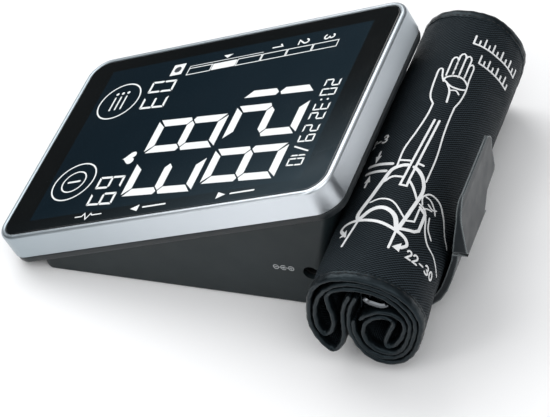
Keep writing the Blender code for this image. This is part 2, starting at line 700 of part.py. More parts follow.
def pierce_roll(part, low, high, root):
    """Open the middle of the large lobe, the room for the metal bar and the small fold."""
    middle = ellipse_points(ROLL_MIDDLE, ROLL_MIDDLE_RADII, 0, 360, 24)[:-1]
    cut(part, prism("middle", middle, low - 1, high + 1, "X", root))
    bar_room = rounded_rectangle(7.4, 3.5, 3.2, BAR_MIDDLE[1:], 4)
    cut(part, prism("bar_room", bar_room, low - 1, high + 1, "X", root))
    fold = rounded_rectangle(3.4, 9.5, 3.2, FOLD_MIDDLE, 4)
    cut(part, prism("fold", fold, low - 1, high + 1, "X", root))


def ellipse_points(centre, radii, start, end, steps):
    """Points on an upright ellipse, angles in degrees."""
    unit = arc_points((0.0, 0.0), 1.0, start, end, steps)
    return [(centre[0] + radii[0] * u, centre[1] + radii[1] * v) for u, v in unit]


def bladder_band(half_thick, start, end):
    """Band on an ellipse round the middle of the large lobe."""
    sides = []
    for side in (1, -1):
        radii = [radius + side * half_thick for radius in BLADDER_RADII]
        sides.append(ellipse_points(BLADDER_MIDDLE, radii, start, end, 24))
    return sides[0] + sides[1][::-1]


def make_cuff(root):
    near = (ROLL_X[1] - BINDING_WIDTH, ROLL_X[1])
    far = (ROLL_X[0], ROLL_X[0] + BINDING_WIDTH)
    body = (far[1] + GAP, near[0] - GAP)
    wrap = prism("cuff_wrap", roll_outline(), body[0], body[1], "X", root)
    pierce_roll(wrap, body[0], body[1], root)
    slot = bladder_band(0.5 * BLADDER_THICK + 0.35, BLADDER_SPAN[0] - 3, BLADDER_SPAN[1] + 3)
    cut(wrap, prism("slot", slot, body[0] - 1, body[1] + 1, "X", root))
    paint(wrap, "woven_fabric", (0.015, 0.016, 0.018), 0.9)
    for name, span in (("cuff_binding_right", near), ("cuff_binding_left", far)):
        binding = prism(name, roll_outline(), span[0], span[1], "X", root)
        pierce_roll(binding, span[0], span[1], root)
        paint(binding, "binding_tape", (0.03, 0.033, 0.035), 0.6)
    band = bladder_band(0.5 * BLADDER_THICK, *BLADDER_SPAN)
    bladder = prism("cuff_bladder", band, body[0] + 6, body[1] - 6, "X", root)
    paint(bladder, "bladder_rubber", (0.25, 0.25, 0.24), 0.6)
    make_metal_bar(root)
    make_air_port(root)


def make_metal_bar(root):
    """Wire bow that the cuff's free end threads through."""
    path = rounded_rectangle(*BAR_HALF, BAR_CORNER)
    curve = bpy.data.curves.new("metal_bar", "CURVE")
    curve.dimensions = "3D"
    curve.bevel_depth = BAR_R * MM
    curve.bevel_resolution = 3
    spline = curve.splines.new("POLY")
    spline.points.add(len(path) - 1)
    for point, (u, v) in zip(spline.points, path):
        place = Vector(BAR_MIDDLE) + Vector((u, v * math.cos(BAR_LEAN), v * math.sin(BAR_LEAN)))
        point.co = (*(place * MM), 1.0)
    spline.use_cyclic_u = True
    wire = bpy.data.objects.new("wire", curve)
    bpy.context.collection.objects.link(wire)
    graph = bpy.context.evaluated_depsgraph_get()
    data = bpy.data.meshes.new_from_object(wire.evaluated_get(graph))
    bpy.data.objects.remove(wire, do_unlink=True)
    data.name = "cuff_metal_bar"
    data.shade_smooth()
    bar = bpy.data.objects.new("cuff_metal_bar", data)
    bar.parent = root
    bpy.context.collection.objects.link(bar)
    paint(bar, "chrome", (0.85, 0.85, 0.86), 0.1, metallic=1.0)


def make_air_port(root):
    """Moulded fitting on the inner ply where the air hose meets the bladder."""
    port = cylinder("cuff_air_port", PORT_AT, PORT_FOOT_R, *PORT_Z, "Z", root, 24)
    stem = (PORT_AT[1], PORT_STEM_Z)
    join(port, cylinder("stem", stem, PORT_STEM_R, *PORT_STEM_X, "X", root, 16))
    cut(port, cylinder("bore", stem, PORT_BORE_R, PORT_STEM_X[0] + 3, PORT_STEM_X[1] + 2, "X", root, 12))
    paint(port, "black_epoxy", (0.02, 0.02, 0.02), 0.5)


def main():
    clear_scene()
    root = add_empty("assembly", (-BOX_CENTRE[0], -BOX_CENTRE[1], 0.0))
    display = add_empty("display", (0.0, 0.0, GLASS_Z), root, TILT)
    bpy.context.view_layer.update()
    make_base_shell(root)
    make_upper_case(root, display)
    make_silver_frame(display)
    make_cover_glass(display)
    make_display_stack(display)
    make_board_screws(display)
    make_board_parts(display)
    make_feet(root)
    make_case_screws(root)
    make_battery_door(root)
    make_cells(root)
    make_contact_strip("battery_contacts_front", 1.9, 1.0, root)
    make_contact_strip("battery_contacts_back", 57.1, -1.0, root)
    make_pump(root)
    make_valve(root)
    make_sockets(root)
    make_cuff_cradle(root)
    make_cuff(root)


main()
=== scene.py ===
"""Looks of the tabletop blood pressure monitor and its rolled cuff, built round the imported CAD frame.

Lengths in the tables are millimetres in the design frame of the CAD: +X is the user's right,
+Y runs from the low front edge to the high back edge and +Z is up from the table.  place()
turns them into the row frame, on_glass() does so for the tilted frame of the cover glass.
"""
import math

import bmesh
import bpy
from mathutils import Matrix, Vector, noise
from mathutils.bvhtree import BVHTree


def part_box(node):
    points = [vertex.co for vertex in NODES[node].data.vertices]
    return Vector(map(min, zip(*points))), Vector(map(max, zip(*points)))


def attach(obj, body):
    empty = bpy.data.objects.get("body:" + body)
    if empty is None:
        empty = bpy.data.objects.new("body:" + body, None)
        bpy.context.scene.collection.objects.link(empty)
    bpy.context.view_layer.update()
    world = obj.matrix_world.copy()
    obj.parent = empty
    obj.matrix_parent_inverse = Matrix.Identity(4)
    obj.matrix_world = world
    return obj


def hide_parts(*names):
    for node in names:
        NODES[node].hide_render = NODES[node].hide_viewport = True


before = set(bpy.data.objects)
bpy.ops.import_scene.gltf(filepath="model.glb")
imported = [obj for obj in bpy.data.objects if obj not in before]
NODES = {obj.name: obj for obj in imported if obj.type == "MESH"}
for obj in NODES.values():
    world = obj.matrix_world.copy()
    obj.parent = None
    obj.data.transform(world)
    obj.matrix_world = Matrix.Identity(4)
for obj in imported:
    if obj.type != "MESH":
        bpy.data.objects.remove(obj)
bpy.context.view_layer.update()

MM = 0.001

# ---------------------------------------------------------------- frames

TILT = math.radians(19.04)
GLASS_THICK = 1.5
GLASS_MIDDLE_Z = 41.0
GLASS_NORMAL = Vector((0.0, -math.sin(TILT), math.cos(TILT)))


def glass_matrix():
    low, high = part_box("cover_glass")
    top = (low + high) / 2 + GLASS_NORMAL * (GLASS_THICK / 2) * MM
    return Matrix.Translation(top) @ Matrix.Rotation(TILT, 4, "X")


GLASS = glass_matrix()
ORIGIN = GLASS.translation - Vector((0.0, 0.0, GLASS_MIDDLE_Z)) * MM


def place(x, y, z):
    return ORIGIN + Vector((x, y, z)) * MM


def on_glass(x, y, z=0.0):
    return GLASS @ (Vector((x, y, z)) * MM)


def ease(value):
    value = min(max(value, 0.0), 1.0)
    return value * value * (3.0 - 2.0 * value)


# ---------------------------------------------------------------- camera, floor and light

CAMERA_AT = (581.17, 363.40, 636.88)
CAMERA_RIGHT = (-0.3347, 0.9236, -0.1872)
CAMERA_UP = (-0.7054, -0.1138, 0.6997)
CAMERA_LENS = 151.2
SENSOR = 36.0


LIGHTS = (                      # name, place, aim, size in metres, power in watts
    ("key", (-560, -560, 860), (20, 40, 20), (1.0, 1.0), 8.0),
    ("fill", (620, 760, 900), (40, 60, 20), (1.2, 1.2), 6.5),
    ("edge", (900, -560, 700), (40, 40, 20), (0.35, 1.2), 3.5),
)
SKY_BELOW, SKY_ABOVE = (0.30, 0.31, 0.32), (1.3, 1.3, 1.3)
SKY_BANDS = ((0.25, 0.05), (0.42, 0.20), (0.60, 0.75))    # height in the sky, grey
SKY_STRENGTH = 0.72
FLOOR_HALF = 30.0               # metres


def make_camera():
    data = bpy.data.cameras.new("camera")
    data.lens = CAMERA_LENS
    data.sensor_width = SENSOR
    data.clip_start = 0.05
    data.clip_end = 20.0
    camera = bpy.data.objects.new("camera", data)
    right = Vector(CAMERA_RIGHT).normalized()
    back = right.cross(Vector(CAMERA_UP)).normalized()
    up = back.cross(right)
    turn = Matrix((right, up, back)).transposed()
    camera.matrix_world = Matrix.Translation(place(*CAMERA_AT)) @ turn.to_4x4()
    bpy.context.scene.collection.objects.link(camera)
    bpy.context.scene.camera = camera


def make_area_light(name, at, towards, size, power):
    data = bpy.data.lights.new(name, "AREA")
    data.shape = "RECTANGLE"
    data.size, data.size_y = size
    data.energy = power
    light = bpy.data.objects.new(name, data)
    start, aim = place(*at), place(*towards)
    light.location = start
    light.rotation_mode = "QUATERNION"
    light.rotation_quaternion = (aim - start).to_track_quat("-Z", "Y")
    bpy.context.scene.collection.objects.link(light)


def make_world():
    world = bpy.data.worlds.new("studio")
    bpy.context.scene.world = world
    world.use_nodes = True
    nodes, links = world.node_tree.nodes, world.node_tree.links
    background = nodes["Background"]
    coords = nodes.new("ShaderNodeTexCoord")
    parts = nodes.new("ShaderNodeSeparateXYZ")
    links.new(coords.outputs["Generated"], parts.inputs[0])
    ramp = nodes.new("ShaderNodeValToRGB")
    stops = ramp.color_ramp.elements
    stops[0].position, stops[0].color = 0.0, (*SKY_BELOW, 1.0)
    stops[1].position, stops[1].color = 1.0, (*SKY_ABOVE, 1.0)
    for position, grey in SKY_BANDS:
        stop = stops.new(position)
        stop.color = (grey * 0.97, grey, grey * 1.03, 1.0)
    links.new(parts.outputs["Z"], ramp.inputs[0])
    links.new(ramp.outputs[0], background.inputs["Color"])
    background.inputs["Strength"].default_value = SKY_STRENGTH


def make_floor(material):
    half = FLOOR_HALF
    corners = [(-half, -half, 0.0), (half, -half, 0.0), (half, half, 0.0), (-half, half, 0.0)]
    data = bpy.data.meshes.new("floor")
    data.from_pydata(corners, [], [(0, 1, 2, 3)])
    data.materials.append(material)
    floor = bpy.data.objects.new("floor", data)
    bpy.context.scene.collection.objects.link(floor)


def make_stage():
    scene = bpy.context.scene
    scene.view_settings.view_transform = "Standard"
    make_camera()
    make_world()
    for settings in LIGHTS:
        make_area_light(*settings)


# ---------------------------------------------------------------- materials

class Finish:
    """A node material: one Principled shader and procedural layers in millimetre coordinates."""

    def __init__(self, name, colour, roughness, metallic=0.0):
        self.material = bpy.data.materials.new(name)
        self.material.use_nodes = True
        self.material.diffuse_color = (*colour, 1.0)
        self.tree = self.material.node_tree
        self.shader = self.tree.nodes["Principled BSDF"]
        self.set("Base Color", (*colour, 1.0))
        self.set("Roughness", roughness)
        self.set("Metallic", metallic)
        self.points = None

    def set(self, socket, value):
        self.shader.inputs[socket].default_value = value

    def add(self, kind, **settings):
        node = self.tree.nodes.new("ShaderNode" + kind)
        for key, value in settings.items():
            setattr(node, key, value)
        return node

    def join(self, source, target):
        self.tree.links.new(source, target)

    def mm(self):
        """Object coordinates in millimetres."""
        if self.points is None:
            coords = self.add("TexCoord")
            scale = self.add("VectorMath", operation="SCALE")
            scale.inputs["Scale"].default_value = 1.0 / MM
            self.join(coords.outputs["Object"], scale.inputs[0])
            self.points = scale.outputs[0]
        return self.points

    def cloth_mm(self):
        """Coordinates stored on the cloth: x across, s along the strip."""
        node = self.add("Attribute")
        node.attribute_name = "cloth"
        return node.outputs["Vector"]

    def noise(self, size, detail=2.0, source=None, stretch=(1.0, 1.0, 1.0)):
        """Noise whose blotches are about size millimetres wide, 0 to 1."""
        points = source or self.mm()
        mapping = self.add("Mapping")
        mapping.inputs["Scale"].default_value = [k / size for k in stretch]
        self.join(points, mapping.inputs["Vector"])
        node = self.add("TexNoise")
        node.inputs["Scale"].default_value = 1.0
        node.inputs["Detail"].default_value = detail
        self.join(mapping.outputs[0], node.inputs["Vector"])
        return node.outputs["Fac"]

    def spread(self, value, low, high, start=0.3, end=0.7):
        node = self.add("MapRange")
        for key, number in (("From Min", start), ("From Max", end), ("To Min", low), ("To Max", high)):
            node.inputs[key].default_value = number
        self.join(value, node.inputs["Value"])
        return node.outputs[0]

    def maths(self, operation, first, second=0.0):
        node = self.add("Math", operation=operation)
        for slot, value in enumerate((first, second)):
            if isinstance(value, (int, float)):
                node.inputs[slot].default_value = value
            else:
                self.join(value, node.inputs[slot])
        return node.outputs[0]

    def blend(self, factor, first, second):
        node = self.add("Mix", data_type="RGBA")
        self.join(factor, node.inputs["Factor"])
        for slot, value in ((6, first), (7, second)):
            if isinstance(value, tuple):
                node.inputs[slot].default_value = (*value, 1.0)
            else:
                self.join(value, node.inputs[slot])
        return node.outputs[2]

    def painted_highlight_mask(self, reach):
        """1 on edges that are rounded over the given reach in millimetres, 0 away from them."""
        bevel = self.add("Bevel")
        bevel.samples = 6
        bevel.inputs["Radius"].default_value = reach * MM
        geometry = self.add("NewGeometry")
        dot = self.add("VectorMath", operation="DOT_PRODUCT")
        self.join(bevel.outputs[0], dot.inputs[0])
        self.join(geometry.outputs["Normal"], dot.inputs[1])
        return self.spread(dot.outputs["Value"], 1.0, 0.0, 0.86, 0.995)

    def colour(self, output):
        self.join(output, self.shader.inputs["Base Color"])
        return self

    def rough(self, output):
        self.join(output, self.shader.inputs["Roughness"])
        return self

    def bump(self, height, depth, strength=1.0, edge=0.0):
        """Bump of the given depth in millimetres, with rounded looking edges if edge is set."""
        node = self.add("Bump")
        node.inputs["Strength"].default_value = strength
        node.inputs["Distance"].default_value = depth * MM
        self.join(height, node.inputs["Height"])
        if edge:
            bevel = self.add("Bevel")
            bevel.samples = 4
            bevel.inputs["Radius"].default_value = edge * MM
            self.join(bevel.outputs[0], node.inputs["Normal"])
        self.join(node.outputs[0], self.shader.inputs["Normal"])
        return self


def moulded(name, dark, light, roughness, grain=0.35, depth=0.02, edge=0.25, rim=None):
    """Moulded plastic: fine grain, faint cloudiness, and, if a rim colour is given, a painted highlight along
    its rounded edges.
    """
    finish = Finish(name, dark, roughness)
    finish.set("Specular IOR Level", 0.32)
    cloud = finish.spread(finish.noise(22.0, 3.0), 0.0, 1.0)
    body = finish.blend(cloud, dark, light)
    if rim:
        # painted highlight: the rim colour is painted along the rounded edges
        body = finish.blend(finish.painted_highlight_mask(edge), body, rim)
    finish.colour(body)
    finish.rough(finish.spread(finish.noise(7.0, 4.0), roughness - 0.05, roughness + 0.06))
    finish.bump(finish.noise(grain, 2.0), depth, 1.0, edge)
    return finish


def metal(name, colour, roughness, grain=0.4, depth=0.002, edge=0.15):
    finish = Finish(name, colour, roughness, 1.0)
    speckle = finish.noise(grain, 2.0)
    finish.rough(finish.spread(speckle, roughness - 0.03, roughness + 0.03))
    shade = tuple(0.93 * c for c in colour)
    finish.colour(finish.blend(finish.spread(finish.noise(30.0, 2.0), 0.0, 1.0), shade, colour))
    finish.bump(speckle, depth, 1.0, edge)
    return finish


def band_finish():
    """Satin metal with a painted reflection: its colour is painted light at the back right corner and fades
    to a painted shade away from it.
    """
    finish = metal("satin_metal", (0.78, 0.81, 0.84), 0.36, 0.3, 0.0002, 0.2)
    low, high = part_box("silver_frame")
    corner = finish.add("VectorMath", operation="DISTANCE")
    finish.join(finish.mm(), corner.inputs[0])
    corner.inputs[1].default_value = (high.x / MM - 6.0, high.y / MM - 8.0, (low.z + high.z) / (2 * MM))
    # painted light and shade: light colour at the back right corner, darkening over 20 to 150 mm from it
    away = finish.spread(corner.outputs["Value"], 0.0, 1.0, 20.0, 150.0)
    cloud = finish.spread(finish.noise(40.0, 2.0), -0.04, 0.04)
    painted_shade = finish.maths("ADD", away, cloud)
    finish.colour(finish.blend(painted_shade, (0.70, 0.74, 0.78), (0.32, 0.37, 0.40)))
    return finish


LCD_X = (-43.6, 44.6)
LCD_Y = (-65.0, 66.0)


def glass_finish():
    """Black-backed glass over the blue-tinted display, with a painted reflection: a lighter colour painted in
    towards the back right.
    """
    finish = Finish("touch_glass", (0.01, 0.011, 0.012), 0.05)
    finish.set("IOR", 1.5)
    mapping = finish.add("Mapping")
    turn = Matrix.Rotation(-TILT, 3, "X")
    mapping.inputs["Rotation"].default_value = (-TILT, 0.0, 0.0)
    mapping.inputs["Location"].default_value = -(turn @ GLASS.translation) / MM
    finish.join(finish.mm(), mapping.inputs["Vector"])
    parts = finish.add("SeparateXYZ")
    finish.join(mapping.outputs[0], parts.inputs[0])
    reach = []
    for axis, span in (("X", LCD_X), ("Y", LCD_Y)):
        middle, half = sum(span) / 2, (span[1] - span[0]) / 2
        away = finish.maths("ABSOLUTE", finish.maths("SUBTRACT", parts.outputs[axis], middle))
        reach.append(finish.maths("SUBTRACT", away, half))
    outside = finish.maths("MAXIMUM", reach[0], reach[1])
    field = finish.spread(outside, 1.0, 0.0, -0.25, 0.25)
    # the display field gets lighter towards its back edge
    glow = finish.spread(parts.outputs["Y"], 0.0, 1.0, -60.0, 66.0)
    navy = finish.blend(glow, (0.0030, 0.0092, 0.0150), (0.0062, 0.0150, 0.0225))
    printed = finish.blend(field, (0.0030, 0.0040, 0.0045), navy)
    # painted reflection: a lighter colour painted in towards the back right of the glass
    slant = finish.maths("ADD", parts.outputs["X"], finish.maths("MULTIPLY", parts.outputs["Y"], 0.45))
    painted_reflection = finish.spread(slant, 0.0, 1.0, 5.0, 72.0)
    painted_reflection = finish.maths("MULTIPLY", painted_reflection, finish.maths("MULTIPLY", painted_reflection, 0.75))
    finish.colour(finish.blend(painted_reflection, printed, (0.034, 0.052, 0.064)))
    finish.rough(finish.spread(finish.noise(16.0, 4.0), 0.04, 0.09))
    return finish


def ink(name, colour, glow=0.0):
    """Screen-printed or lit marks, faintly uneven."""
    finish = Finish(name, colour, 0.30)
    shade = tuple(0.93 * c for c in colour)
    finish.colour(finish.blend(finish.spread(finish.noise(3.0, 3.0), 0.0, 1.0), shade, colour))
    finish.bump(finish.noise(0.5, 2.0), 0.003)
    if glow:
        finish.set("Emission Color", (*colour, 1.0))
        finish.set("Emission Strength", glow)
    return finish


WEAVE_PITCH = 0.92
WEAVE_ACROSS, WEAVE_ALONG = 0.80, 0.60
CROSSING = 0.35                 # strength of the second set of ribs against the first


def twill_finish():
    """Black twill of slanting, broken ribs; its gloss is tinted to match the photo's cool light."""
    finish = Finish("twill_fabric", (0.03, 0.032, 0.036), 0.78)
    finish.set("Specular IOR Level", 0.12)
    finish.set("Specular Tint", (0.66, 0.88, 1.0, 1.0))
    cloth = finish.cloth_mm()
    parts = finish.add("SeparateXYZ")
    finish.join(cloth, parts.inputs[0])
    wander = finish.spread(finish.noise(5.0, 3.0, cloth), -0.10, 0.10)
    waves = []
    for sign, share in ((-1, 1.0), (1, CROSSING)):
        across = finish.maths("MULTIPLY", parts.outputs["X"], WEAVE_ACROSS / WEAVE_PITCH)
        along = finish.maths("MULTIPLY", parts.outputs["Y"], sign * WEAVE_ALONG / WEAVE_PITCH)
        phase = finish.maths("ADD", finish.maths("ADD", across, along), wander)
        wave = finish.maths("COSINE", finish.maths("MULTIPLY", phase, 2 * math.pi))
        waves.append(finish.maths("MULTIPLY", wave, share))
    height = finish.spread(finish.maths("ADD", *waves), 0.0, 1.0, -0.7, 1.0)
    fuzz = finish.noise(0.7, 3.0, cloth)
    # painted shade: the colour is much darker in the grooves between the ribs than on their lit crowns
    shaded_groove, lit_crown = (0.0008, 0.0012, 0.0016), (0.030, 0.039, 0.047)
    painted_shade = finish.maths("MULTIPLY", height, finish.spread(fuzz, 0.75, 1.1))
    finish.colour(finish.blend(painted_shade, shaded_groove, lit_crown))
    finish.rough(finish.spread(finish.noise(9.0, 3.0, cloth), 0.50, 0.62))
    finish.bump(finish.maths("ADD", height, finish.maths("MULTIPLY", fuzz, 0.3)), 0.22, 1.0)
    return finish


def tape_finish():
    """Grosgrain tape: fine cross ribs and a slight shine, tinted to match the photo's cool light."""
    finish = Finish("edge_tape", (0.02, 0.022, 0.024), 0.5)
    finish.set("Specular IOR Level", 0.30)
    finish.set("Specular Tint", (0.66, 0.88, 1.0, 1.0))
    cloth = finish.cloth_mm()
    parts = finish.add("SeparateXYZ")
    finish.join(cloth, parts.inputs[0])
    wave = finish.maths("SINE", finish.maths("MULTIPLY", parts.outputs["Y"], 2 * math.pi / 0.55))
    fuzz = finish.noise(1.1, 3.0, cloth)
    crease = finish.spread(finish.noise(3.2, 3.0, cloth, (1.0, 0.5, 1.0)), 0.0, 1.4)
    weave = finish.maths("MULTIPLY", finish.spread(wave, 0.0, 1.0, -1.0, 1.0), 0.07)
    height = finish.maths("ADD", finish.maths("ADD", weave, crease), finish.maths("MULTIPLY", fuzz, 0.35))
    cloud = finish.spread(finish.noise(8.0, 3.0, cloth), 0.0, 1.0)
    base = finish.blend(cloud, (0.0018, 0.0030, 0.0040), (0.0045, 0.0065, 0.0082))
    # painted shade: the colour goes nearly black in the low creases of the tape
    finish.colour(finish.blend(finish.spread(height, 0.0, 1.0, 0.1, 0.9), (0.001, 0.0016, 0.002), base))
    finish.rough(finish.spread(fuzz, 0.28, 0.42))
    finish.bump(height, 0.17, 0.9)
    return finish


def board_finish():
    """Solder-masked circuit board with broad copper areas showing through."""
    finish = Finish("circuit_board", (0.01, 0.09, 0.04), 0.38)
    brick = finish.add("TexBrick")
    brick.inputs["Scale"].default_value = 0.22
    brick.inputs["Mortar Size"].default_value = 0.03
    brick.inputs["Color1"].default_value = (0.008, 0.085, 0.035, 1.0)
    brick.inputs["Color2"].default_value = (0.012, 0.110, 0.048, 1.0)
    brick.inputs["Mortar"].default_value = (0.004, 0.050, 0.022, 1.0)
    finish.join(finish.mm(), brick.inputs["Vector"])
    finish.colour(brick.outputs["Color"])
    finish.bump(brick.outputs["Fac"], 0.03)
    return finish


def battery_finish():
    """Printed jacket: dark sleeve with a lighter band at one end."""
    finish = Finish("battery_jacket", (0.16, 0.17, 0.18), 0.35)
    parts = finish.add("SeparateXYZ")
    finish.join(finish.mm(), parts.inputs[0])
    band_start = (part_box("battery_1")[1].y / MM) - 16.0
    band = finish.spread(parts.outputs["Y"], 0.0, 1.0, band_start, band_start + 0.2)
    cloud = finish.spread(finish.noise(12.0), 0.0, 1.0)
    sleeve = finish.blend(cloud, (0.05, 0.055, 0.06), (0.07, 0.075, 0.08))
    finish.colour(finish.blend(band, sleeve, (0.55, 0.42, 0.12)))
    finish.bump(finish.noise(0.8, 2.0), 0.01)
    return finish


def floor_finish():
    finish = Finish("pale_floor", (0.86, 0.86, 0.865), 0.75)
    finish.colour(finish.blend(finish.noise(60.0, 2.0), (0.925, 0.925, 0.93), (0.945, 0.945, 0.95)))
    return finish


def smoothing_group():
    """Geometry nodes that weld the facets and leave only true edges sharp."""
    group = bpy.data.node_groups.new("smooth_facets", "GeometryNodeTree")
    group.interface.new_socket("Geometry", in_out="INPUT", socket_type="NodeSocketGeometry")
    group.interface.new_socket("Geometry", in_out="OUTPUT", socket_type="NodeSocketGeometry")
    nodes, links = group.nodes, group.links
    start, end = nodes.new("NodeGroupInput"), nodes.new("NodeGroupOutput")
    weld = nodes.new("GeometryNodeMergeByDistance")
    weld.inputs["Distance"].default_value = 0.002 * MM
    angle = nodes.new("GeometryNodeInputMeshEdgeAngle")
    sharp = nodes.new("FunctionNodeCompare")
    sharp.data_type, sharp.operation = "FLOAT", "GREATER_THAN"
    sharp.inputs[1].default_value = math.radians(28.0)
    normals = nodes.new("GeometryNodeSetMeshNormal")
    normals.mode = "SHARPNESS"
    normals.inputs["Remove Custom"].default_value = True
    links.new(start.outputs[0], weld.inputs["Geometry"])
    links.new(weld.outputs[0], normals.inputs["Mesh"])
    links.new(angle.outputs["Unsigned Angle"], sharp.inputs[0])
    links.new(sharp.outputs[0], normals.inputs["Edge Sharpness"])
    links.new(normals.outputs[0], end.inputs[0])
    return group


def smooth_nodes():
    group = smoothing_group()
    for node in NODES.values():
        weld = node.modifiers.new("smooth_facets", "NODES")
        weld.node_group = group
        even = node.modifiers.new("even_normals", "WEIGHTED_NORMAL")
        even.keep_sharp = True
        even.weight = 80


def paint_nodes():
    """One finish for each CAD node."""
    black = moulded("fine_black", (0.010, 0.011, 0.012), (0.018, 0.019, 0.020), 0.42, 0.3, 0.01)
    rubber = moulded("black_rubber", (0.012, 0.012, 0.013), (0.022, 0.022, 0.023), 0.72, 0.5, 0.02)
    steel = metal("zinc_steel", (0.62, 0.63, 0.62), 0.30)
    cell = battery_finish()
    white = moulded("white_diffuser", (0.72, 0.73, 0.74), (0.80, 0.80, 0.80), 0.45)
    # the last colour of dark_plastic and holder_plastic is a painted highlight along their edges
    dark = moulded("dark_plastic", (0.012, 0.015, 0.017), (0.018, 0.022, 0.025), 0.34, 0.3, 0.006, 0.8,
                   (0.075, 0.088, 0.095))
    base = moulded("base_plastic", (0.0085, 0.0145, 0.0165), (0.0120, 0.0190, 0.0215), 0.46, 0.40, 0.022)
    holder = moulded("holder_plastic", (0.006, 0.010, 0.013), (0.009, 0.014, 0.018), 0.36, 0.40, 0.006, 1.1,
                     (0.24, 0.27, 0.28))
    cream = moulded("cream_plastic", (0.60, 0.57, 0.48), (0.68, 0.65, 0.56), 0.45)
    nickel = metal("nickel_plate", (0.70, 0.67, 0.62), 0.26)
    finishes = {
        "silver_frame": band_finish(),
        "cover_glass": glass_finish(),
        "touch_film": moulded("clear_film", (0.08, 0.09, 0.10), (0.10, 0.11, 0.12), 0.2),
        "lcd_panel": moulded("lcd_glass", (0.03, 0.05, 0.07), (0.04, 0.06, 0.08), 0.15),
        "backlight": white,
        "main_board": board_finish(),
        "upper_case": dark,
        "base_shell": base,
        "battery_door": base,
        "cuff_cradle": holder,
        "pump_motor": steel,
        "pump_crank": metal("brass", (0.78, 0.60, 0.28), 0.28),
        "pump_head": cream,
        "air_manifold": cream,
        "release_valve": steel,
        "valve_plunger": steel,
        # painted shade: much darker than real chrome, standing in for the dark inside of the roll
        "cuff_metal_bar": metal("chrome", (0.11, 0.117, 0.125), 0.08, 2.0, 0.001, 0.0),
        "cuff_bladder": moulded("bladder_rubber", (0.20, 0.20, 0.19), (0.26, 0.26, 0.25), 0.6),
        "battery_contacts_front": nickel,
        "battery_contacts_back": nickel,
        "dc_jack": black,
        "air_socket": black,
        "cuff_air_port": black,
        "microcontroller": black,
        "buzzer": black,
        "pressure_sensor": black,
        "pump_saddle": rubber,
    }
    by_start = (("rubber_foot", rubber), ("battery_", cell), ("board_screw", steel), ("case_screw", steel))
    for name, node in NODES.items():
        finish = finishes.get(name)
        if finish is None:
            finish = next((f for start, f in by_start if name.startswith(start)), dark)
        node.data.materials.clear()
        node.data.materials.append(finish.material)


# ---------------------------------------------------------------- mesh helpers

def new_piece(name, verts, faces, finish, body, smooth=True, sharp=None):
    """A closed mesh, outward normals, riding on a body."""
    mesh = bmesh.new()
    made = [mesh.verts.new(v) for v in verts]
    for face in faces:
        mesh.faces.new([made[i] for i in face])
    bmesh.ops.recalc_face_normals(mesh, faces=mesh.faces)
    data = bpy.data.meshes.new(name)
    mesh.to_mesh(data)
    mesh.free()
    data.materials.append(finish.material)
    if smooth:
        data.shade_smooth()
        if sharp is not None:
            data.set_sharp_from_angle(angle=math.radians(sharp))
    piece = bpy.data.objects.new(name, data)
    bpy.context.scene.collection.objects.link(piece)
    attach(piece, body)
    return piece


def curve_through(points, per=12):
    """Open Catmull-Rom curve through 2D points."""
    pts = [Vector(p) for p in points]
    pts = [pts[0] * 2 - pts[1]] + pts + [pts[-1] * 2 - pts[-2]]
    out = []
    for i in range(1, len(pts) - 2):
        a, b, c, d = pts[i - 1:i + 3]
        for k in range(per):
            t = k / per
            out.append(0.5 * (2 * b + (c - a) * t + (2 * a - 5 * b + 4 * c - d) * t * t
                              + (3 * b - a - 3 * c + d) * t ** 3))
    return out + [pts[-2]]


def even_steps(points, step):
    """The same path with points a nearly constant distance apart, and its length."""
    lengths = [0.0]
    for a, b in zip(points, points[1:]):
        lengths.append(lengths[-1] + (b - a).length)
    count = max(2, round(lengths[-1] / step))
    out, k = [], 0
    for i in range(count + 1):
        want = lengths[-1] * i / count
        while k < len(points) - 2 and lengths[k + 1] < want:
            k += 1
        span = max(lengths[k + 1] - lengths[k], 1e-9)
        out.append(points[k].lerp(points[k + 1], min(max((want - lengths[k]) / span, 0.0), 1.0)))
    return out, lengths[-1]


def arc(cx, cy, rx, ry, start, end, steps=14):
    out = []
    for k in range(steps + 1):
        a = math.radians(start + (end - start) * k / steps)
        out.append((cx + rx * math.cos(a), cy + ry * math.sin(a)))
    return out


